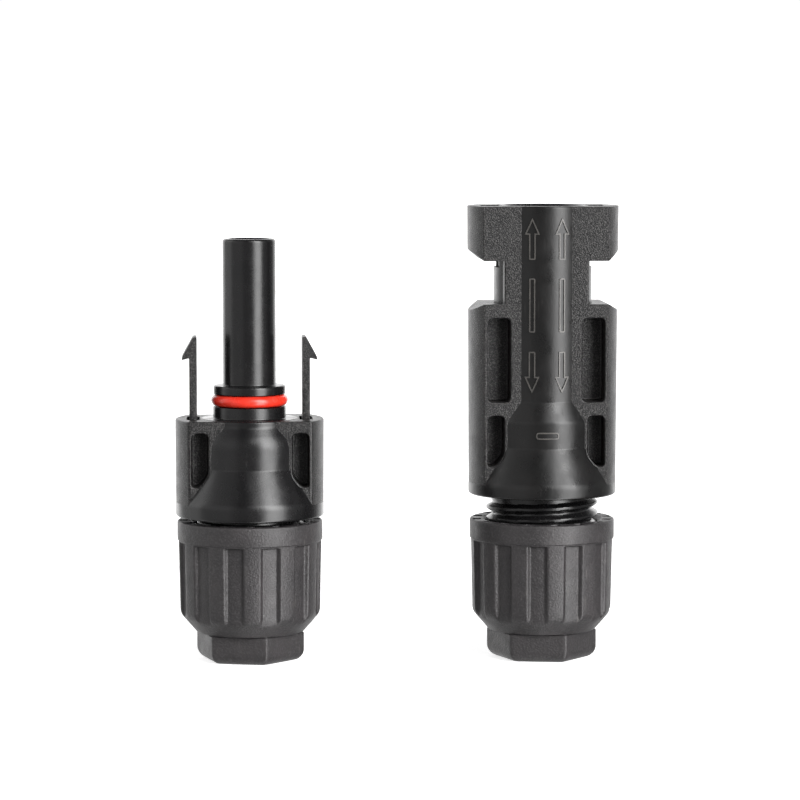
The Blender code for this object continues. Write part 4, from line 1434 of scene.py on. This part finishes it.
@dataclass
class SealingRing:
    """The red sealing ring on the socket half's neck."""

    half: Half
    wire: float = 0.75
    outer: float = 5.02
    height: float = 2.35
    flash: float = 0.03

    def build(self) -> None:
        """Places the ring, with the faint line where its mould closed."""
        shape = Shape()
        middle = Vector((self.outer - self.wire, 0, self.half.top + self.height))
        upright = Matrix.Translation(middle) @ Matrix.Rotation(math.pi / 2, 4, "X")
        made = bmesh.ops.create_circle(shape.bm, radius=self.wire, segments=40, matrix=upright)["verts"]
        for vert in made:
            if abs(vert.co.z - middle.z) < 0.02:
                vert.co.x += math.copysign(self.flash, vert.co.x - middle.x)
        shape.spun([*shape.bm.verts, *shape.bm.edges], 144)
        node = "socket_sealing_ring"
        self.half.place(
            shape, "socket_red_ring", "socket_half", "ring_red", [RED_SILICONE], node, sharp=60.0
        )


# ---------------------------------------------------------------- gland
@dataclass
class GlandNut:
    """A fluted gland nut: rimmed collar with ratchet pockets, twelve flutes, cone and hexagon foot."""

    half: Half
    height: float = 18.4
    collar: float = 9.5
    collar_height: float = 2.5
    body_top: float = 9.35
    draft: float = 0.2
    flutes: int = 12
    flute_half: float = 1.2
    flute_depth: float = 0.55
    cone: float = 2.45
    cone_foot: float = 7.06
    hex_height: float = 3.75
    hex_half: float = 6.3
    hex_corner: float = 7.26
    foot_chamfer: float = 0.9
    hole: float = 4.2
    shoulder: float = 4.8
    waist: float = 8.3
    lead: float = 0.45
    ratchets: int = 16
    ratchet_size: float = 1.1
    ratchet_depth: float = 0.5
    segments: int = 432

    def section(self) -> Path:
        """The nut's whole section, as a ring: rim, collar, body, cone, hexagon foot, hole and bore."""
        top, collar_foot = self.height, self.height - self.collar_height
        cone_top = self.hex_height + self.cone
        path = Path().to(THREAD.bore + self.lead, top, 0.12).to(self.collar, top, 0.3, 12)
        path.to(self.collar, collar_foot, 0.14, 3).to(self.body_top, collar_foot - 0.12, 0.05)
        path.to(self.body_top - 0.01, collar_foot - 0.4, 0.0, 4)
        path.to(self.body_top - self.draft, cone_top, 0.6, 6)
        path.to(self.cone_foot, self.hex_height + 0.04, 0.0, 18)
        path.to(self.cone_foot + 0.06, self.hex_height - 0.03)
        path.to(self.hex_corner, self.hex_height - 0.12).to(self.hex_corner, self.foot_chamfer, 0.6, 5)
        path.to(self.hex_corner - self.foot_chamfer, 0, 0.6, 2).to(self.hole + 0.4, 0, 0.1, 4)
        path.to(self.hole, 0.4, 0.1).to(self.hole, self.shoulder, 0.1, 3)
        path.to(THREAD.root, self.shoulder, 0.15, 3).to(THREAD.root, self.waist, 0.1, 3)
        path.to(THREAD.bore, self.waist, 0.15).to(THREAD.bore, 11.8, 0.0, 3).to(THREAD.bore, 17.6, 0.0, 46)
        return path.to(THREAD.bore, top - self.lead, 0.1)

    def formed(self, bearing: float, radius: float, height: float) -> tuple[float, float]:
        """Where a point of the turned section moves to: flutes, hexagon, ratchet pockets or thread.

        Args:
            bearing: Angle from the hexagon's first corner.
            radius: The turned radius.
            height: Its height.

        Returns:
            The new radius and height.
        """
        collar_foot = self.height - self.collar_height
        if height > self.height - 0.02 and radius > THREAD.bore + self.lead + 0.02:
            return radius, height - self.ratchet(bearing, radius)
        if abs(radius - THREAD.bore) < 0.005 and self.waist + 0.5 < height < self.height - 0.5:
            return THREAD.inner(bearing, height), height
        if height < self.hex_height:
            return self.hexagon(bearing, radius), height
        if radius > self.cone_foot - 0.01 and height < collar_foot - 0.1:
            return self.fluted(bearing, radius, height), height
        return radius, height

    def ratchet(self, bearing: float, radius: float) -> float:
        """Depth of the rim's ratchet pockets at a place."""
        middle = (THREAD.bore + self.lead + self.collar - 0.2) / 2
        across = abs(to_nearest(bearing, TURN / self.ratchets)) * radius
        half = self.ratchet_size / 2
        inside = (1 - smooth_step(half - 0.14, half + 0.04, across)) * (
            1 - smooth_step(half - 0.14, half + 0.04, abs(radius - middle))
        )
        return self.ratchet_depth * inside

    def hexagon(self, bearing: float, radius: float) -> float:
        """Radius of the hexagon foot, whose outline the points take up towards its rim."""
        off_flat = to_nearest(bearing - math.pi / 6, math.pi / 3)
        outline = soft_min(self.hex_corner, self.hex_half / math.cos(off_flat), 0.25)
        share = 1.0
        if radius < self.hex_corner:
            share = smooth_step(self.hole, self.hex_corner - self.foot_chamfer, radius)
        return radius * (1 + (outline / self.hex_corner - 1) * share)

    def fluted(self, bearing: float, radius: float, height: float) -> float:
        """Radius of the body with its flutes, which end in a ledge under the collar."""
        across = abs(to_nearest(bearing, TURN / self.flutes)) * radius
        sides = 1 - smooth_step(self.flute_half - 0.24, self.flute_half + 0.2, across)
        top = self.height - self.collar_height
        ledge = 1 - smooth_step(top - 0.4, top - 0.2, height)
        floor = self.body_top - self.draft - self.flute_depth + self.draft * height / top
        deep = soft_min(radius, floor, 0.35)
        return radius + (deep - radius) * sides * ledge

    def build(self) -> None:
        """Places the nut."""
        word = self.half.word
        shape = Shape.turned(self.section(), self.segments, closed=True).reshaped(self.formed)
        self.half.place(
            shape,
            f"{word}_fluted_nut",
            f"{word}_nut",
            "nut_grey",
            [MATTE_NUT_PLASTIC],
            f"{word}_gland_nut",
            turn=self.half.nut_turn,
            sharp=48.0,
        )


@dataclass
class ClampClaw:
    """The slotted clamp claw that closes round the cable seal."""

    half: Half
    ring_bottom: float = 4.86
    ring_top: float = 6.86
    ring_radius: float = 6.25
    finger_radius: float = 5.25
    finger_bore: float = 4.45
    hole: float = 4.2
    top: float = 13.36
    slots: int = 8
    slot_width: float = 0.9

    def build(self) -> None:
        """Places the claw."""
        path = Path().to(self.finger_radius - 0.5, self.top, 0.12).to(self.finger_radius, self.top - 1, 0.3)
        path.to(self.finger_radius, self.ring_top, 0.2).to(self.ring_radius, self.ring_top, 0.2)
        path.to(self.ring_radius, self.ring_bottom, 0.2).to(self.hole, self.ring_bottom, 0.15)
        path.to(self.hole, self.ring_bottom + 0.5, 0.1).to(self.finger_bore, self.ring_bottom + 0.5, 0.05)
        path.to(self.finger_bore, self.top, 0.12)
        claw = Shape.turned(path, 96, closed=True)
        cutters = Shape()
        for index in range(self.slots):
            low = (3.0, -self.slot_width / 2, self.ring_top)
            slot = Shape.box(low, (8.0, self.slot_width / 2, self.top + 1)).eased(0.15, 2)
            cutters.with_shapes(slot.moved(Matrix.Rotation(TURN * index / self.slots, 4, "Z")))
        word = self.half.word
        claw.combined(cutters, "DIFFERENCE").dressed(0)
        node = f"{word}_clamp_claw"
        self.half.place(claw, f"{word}_claw", f"{word}_clamp", "claw_black", [CLAW_PLASTIC], node)


@dataclass
class CableSeal:
    """The ribbed rubber seal inside the claw, with its head over the claw's fingers."""

    half: Half
    bottom: float = 5.42
    head_bottom: float = 13.42
    head_top: float = 14.52
    radius: float = 4.39
    head_radius: float = 5.0
    bore: float = 3.34
    ribs: int = 5
    rib_depth: float = 0.25

    def build(self) -> None:
        """Places the seal."""
        path = Path().to(self.head_radius, self.head_top, 0.25).to(self.head_radius, self.head_bottom, 0.15)
        path.to(self.radius, self.head_bottom, 0.1).to(self.radius, self.bottom, 0.2)
        path.to(self.bore + 0.1, self.bottom, 0.1)
        rise = (self.head_top - self.bottom) / (self.ribs + 0.5)
        for index in range(self.ribs):
            middle = self.bottom + rise * (index + 0.75)
            path.to(self.bore + self.rib_depth, middle - rise * 0.45, 0.2)
            path.to(self.bore, middle, 0.2)
        path.to(self.bore + self.rib_depth, self.head_top, 0.1)
        word = self.half.word
        seal = Shape.turned(path, 96, closed=True)
        name, node = f"{word}_ribbed_seal", f"{word}_cable_seal"
        self.half.place(seal, name, f"{word}_clamp", "seal_grey", [SEAL_RUBBER], node, sharp=50.0)


# ---------------------------------------------------------------- contacts
@dataclass
class Contact:
    """What both crimp contacts share: collar, neck and crimp barrel with its sight hole."""

    half: Half
    stop: float
    pin: float = 2.0
    collar: float = 2.7
    collar_height: float = 1.3
    neck: float = 2.15
    neck_height: float = 4.4
    barrel: float = 2.45
    barrel_length: float = 6.5
    barrel_bore: float = 1.65
    barrel_bore_depth: float = 8.5

    def crimp_end(self, path: Path) -> Path:
        """Carries a contact's section on from its collar to the floor of its crimp bore.

        Args:
            path: The section so far.

        Returns:
            The path, ended on the axis.
        """
        neck = self.stop - self.collar_height
        barrel = neck - self.neck_height
        end = barrel - self.barrel_length
        path.to(self.collar, self.stop, 0.12).to(self.collar, neck, 0.12).to(self.neck, neck, 0.1)
        path.to(self.neck, barrel, 0.1).to(self.barrel, barrel, 0.12).to(self.barrel, end, 0.1)
        path.to(self.barrel_bore, end, 0.15).to(self.barrel_bore, end + self.barrel_bore_depth, 0.1)
        return path.to(0, end + self.barrel_bore_depth)

    def finished(self, path: Path, name: str) -> None:
        """Turns the section, drills the sight hole and places the contact.

        Args:
            path: The whole section.
            name: The piece's name.
        """
        word = self.half.word
        shape = Shape.turned(path, 72)
        hole = Shape.drum(-4, 0, 0.5, 0.5, 24)
        middle = self.stop - self.collar_height - self.neck_height - 1.2
        hole.moved(Matrix.Translation((0, 0, middle)) @ Matrix.Rotation(-math.pi / 2, 4, "X"))
        shape.combined(hole, "DIFFERENCE").dressed(0)
        self.half.place(shape, name, f"{word}_half", "contact_tin", [TINNED_COPPER], f"{word}_contact")


@dataclass
class PinContact(Contact):
    """The 4 mm pin."""

    tip: float = 50.5

    def build(self) -> None:
        """Places the pin, with its bullet nose."""
        path = Path().to(0, self.tip).to(self.pin - 1.0, self.tip, 0.4).to(self.pin, self.tip - 1.5, 0.6)
        path.to(self.pin, self.stop, 0.1)
        self.finished(self.crimp_end(path), "pin_turned_contact")


@dataclass
class SocketContact(Contact):
    """The socket, whose mouth leads to the groove for the spring band."""

    tip: float = 54.24
    bore_depth: float = 14.0
    mouth: float = 2.15
    groove: float = 2.36
    tube: float = 2.6
    band_top: float = 52.64
    band_bottom: float = 46.52

    def build(self) -> None:
        """Places the socket."""
        floor = self.tip - self.bore_depth
        path = Path().to(0, floor).to(self.mouth, floor, 0.2).to(self.mouth, self.band_bottom)
        path.to(self.groove, self.band_bottom).to(self.groove, self.band_top).to(self.mouth, self.band_top)
        path.to(self.mouth, self.tip - 0.2, 0.08).to(self.mouth + 0.2, self.tip, 0.08)
        path.to(self.tube, self.tip, 0.08).to(self.tube, self.stop, 0.1)
        self.finished(self.crimp_end(path), "socket_turned_contact")


def dress_springs() -> None:
    """Gives the spring band and the retaining clips, whose CAD shapes stay, their rolled steel."""
    for node in ("socket_spring_band", "socket_contact_clip", "pin_contact_clip"):
        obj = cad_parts[node]
        for slot in obj.material_slots:
            slot.material = SPRING_STEEL.build()
        LOG.info("%s: dressed as %s", node, SPRING_STEEL.name)


# ---------------------------------------------------------------- studio
@dataclass
class Studio:
    """Plain pale floor, soft light from all round with a large softbox at the right, and the camera."""

    back_light: float = 2.1
    front_light: float = 0.255
    ceiling: float = 0.12
    ground: float = 0.5
    top_lamp: float = 2.6
    top_lamp_direction: tuple[float, float, float] = (0.201, -0.804, 0.559)
    top_lamp_half_width: float = 6.0
    softbox: float = 12.0
    softbox_foot: float = 0.6
    softbox_bearing: float = 38.0
    softbox_half_width: float = 13.0
    strip: float = 1.25
    strip_bearing: float = -103.0
    strip_half_width: float = 17.0
    fill: float = 0.55
    fill_bearing: float = -62.0
    fill_half_width: float = 34.0
    soft_edge: float = 8.0
    backdrop: float = 1.02
    azimuth: float = -3.3
    elevation: float = 5.0
    distance: float = 0.4455
    lens: float = 153.0
    aim: tuple[float, float, float] = (0.0004, 0.0, 0.0340)

    def build(self) -> None:
        """Makes the floor, the light and the camera."""
        self.floor()
        self.light()
        self.camera()

    def floor(self) -> None:
        """A wide sheet of white paper, which throws no light of its own on the object."""
        shape = Shape()
        bmesh.ops.create_grid(shape.bm, x_segments=1, y_segments=1, size=4.0)
        mesh = bpy.data.meshes.new("studio_floor")
        shape.bm.to_mesh(mesh)
        shape.bm.free()
        mesh.materials.append(STUDIO_PAPER.build())
        obj = bpy.data.objects.new("studio_floor", mesh)
        obj.visible_glossy = False
        obj.visible_diffuse = False
        bpy.context.scene.collection.objects.link(obj)

    def patch(
        self, tree: bpy.types.NodeTree, level: bpy.types.NodeSocket, bearing: float, half_width: float
    ) -> bpy.types.NodeSocket:
        """How far a direction lies inside an upright light.

        Args:
            tree: The world's nodes.
            level: The level direction, of length 1.
            bearing: Where the light stands, in degrees from the front towards the right.
            half_width: Half its width, in degrees.

        Returns:
            1 inside the light and 0 outside it.
        """
        towards = (math.sin(math.radians(bearing)), -math.cos(math.radians(bearing)), 0.0)
        aligned = add_node(
            tree, "ShaderNodeVectorMath", DOT, {0: level, 1: towards}
        ).outputs["Value"]
        soft = self.soft_edge
        edges = [math.cos(math.radians(half_width + way * soft)) for way in (1, -1)]
        inputs = {"Value": aligned, "From Min": edges[0], "From Max": edges[1]}
        return add_node(
            tree, "ShaderNodeMapRange", SMOOTH, inputs
        ).outputs["Result"]

    def light(self) -> None:
        """Light by direction: dim in front, bright behind and at the sides, with softbox and strip."""
        world = bpy.data.worlds.new("studio_light")
        bpy.context.scene.world = world
        world.use_nodes = True
        tree = world.node_tree
        tree.nodes.clear()
        towards = add_node(tree, "ShaderNodeTexCoord", {}, {}).outputs["Generated"]
        parts = add_node(tree, "ShaderNodeSeparateXYZ", {}, {"Vector": towards}).outputs
        across = {"X": parts["X"], "Y": parts["Y"]}
        flat = add_node(tree, "ShaderNodeCombineXYZ", {}, across).outputs["Vector"]
        level = add_node(
            tree, "ShaderNodeVectorMath", {"operation": "NORMALIZE"}, {0: flat}
        ).outputs["Vector"]
        behind = add_node(tree, "ShaderNodeSeparateXYZ", {}, {"Vector": level}).outputs["Y"]
        ramp = {"From Min": 0.5, "From Max": 0.87, "To Min": self.front_light, "To Max": self.back_light}
        base = add_node(
            tree, "ShaderNodeMapRange", SMOOTH, {"Value": behind, **ramp}
        ).outputs["Result"]
        shares = []
        for low, high, from_share, to_share in (
            (0.2, 0.7, 1.0, self.ceiling),
            (-0.5, -0.1, self.ground, 1.0),
            (0.6, 0.85, 1.0, 0.0),
            (0.0, 0.3, self.softbox_foot, 1.0),
        ):
            steps = {"From Min": low, "From Max": high, "To Min": from_share, "To Max": to_share}
            shares.append(
                add_node(
                    tree, "ShaderNodeMapRange", SMOOTH, {"Value": parts["Z"], **steps}
                ).outputs["Result"]
            )
        ceiling, ground, below, rising = shares
        for share in (ceiling, ground):
            base = add_node(tree, "ShaderNodeMath", MULTIPLY, {0: base, 1: share}).outputs[0]
        upright = add_node(tree, "ShaderNodeMath", MULTIPLY, {0: below, 1: rising}).outputs[0]
        total = base
        for strength, bearing, half_width in (
            (self.softbox, self.softbox_bearing, self.softbox_half_width),
            (self.strip, self.strip_bearing, self.strip_half_width),
            (self.fill, self.fill_bearing, self.fill_half_width),
        ):
            inside = self.patch(tree, level, bearing, half_width)
            lit = add_node(tree, "ShaderNodeMath", MULTIPLY, {0: inside, 1: upright}).outputs[0]
            sums = {0: lit, 1: strength, 2: total}
            total = add_node(tree, "ShaderNodeMath", MULTIPLY_ADD, sums).outputs[0]
        above = add_node(
            tree, "ShaderNodeVectorMath", DOT, {0: towards, 1: self.top_lamp_direction}
        ).outputs["Value"]
        half_width, soft = self.top_lamp_half_width, self.soft_edge
        rims = [math.cos(math.radians(half_width + way * soft)) for way in (1, -1)]
        overhead = add_node(
            tree,
            "ShaderNodeMapRange",
            SMOOTH,
            {"Value": above, "From Min": rims[0], "From Max": rims[1], "To Max": self.top_lamp},
        ).outputs["Result"]
        total = add_node(tree, "ShaderNodeMath", {"operation": "ADD"}, {0: total, 1: overhead}).outputs[0]
        studio = add_node(tree, "ShaderNodeBackground", {}, {"Color": (1, 1, 1, 1), "Strength": total})
        plain = {"Color": (1, 1, 1, 1), "Strength": self.backdrop}
        paper = add_node(tree, "ShaderNodeBackground", {}, plain)
        seen = add_node(tree, "ShaderNodeLightPath", {}, {}).outputs["Is Camera Ray"]
        both = add_node(
            tree,
            "ShaderNodeMixShader",
            {},
            {0: seen, 1: studio.outputs["Background"], 2: paper.outputs["Background"]},
        )
        add_node(tree, "ShaderNodeOutputWorld", {}, {"Surface": both.outputs["Shader"]})
        bpy.context.scene.view_settings.view_transform = "Standard"

    def camera(self) -> None:
        """The camera, a little left of the front and above the middle."""
        azimuth, elevation = math.radians(self.azimuth), math.radians(self.elevation)
        back = Vector(
            (
                math.sin(azimuth) * math.cos(elevation),
                -math.cos(azimuth) * math.cos(elevation),
                math.sin(elevation),
            )
        )
        data = bpy.data.cameras.new("camera")
        data.lens = self.lens
        data.sensor_width = 36.0
        data.clip_start, data.clip_end = 0.01, 50.0
        camera = bpy.data.objects.new("camera", data)
        camera.location = Vector(self.aim) + back * self.distance
        camera.rotation_euler = (-back).to_track_quat("-Z", "Y").to_euler()
        bpy.context.scene.collection.objects.link(camera)
        bpy.context.scene.camera = camera


# ---------------------------------------------------------------- assembly
def main() -> None:
    """Builds the studio and both halves."""
    logging.basicConfig(level=logging.INFO, format="%(relativeCreated)d ms %(message)s")
    Studio().build()

    pin = Half(word="pin", foot=21.7, top=59.5, nut_turn=math.radians(51.0))
    PinHousing(pin).build()
    PinContact(pin, stop=32.84).build()

    socket = Half(word="socket", foot=19.0, top=31.8, nut_turn=math.radians(46.0))
    SocketHousing(socket).build()
    Latches(socket).build()
    SealingRing(socket).build()
    SocketContact(socket, stop=30.14).build()

    for half in (pin, socket):
        GlandNut(half).build()
        ClampClaw(half).build()
        CableSeal(half).build()
        LOG.info("%s half: %d pieces", half.word, len(half.made))
    dress_springs()


if __name__ == "__main__":
    main()
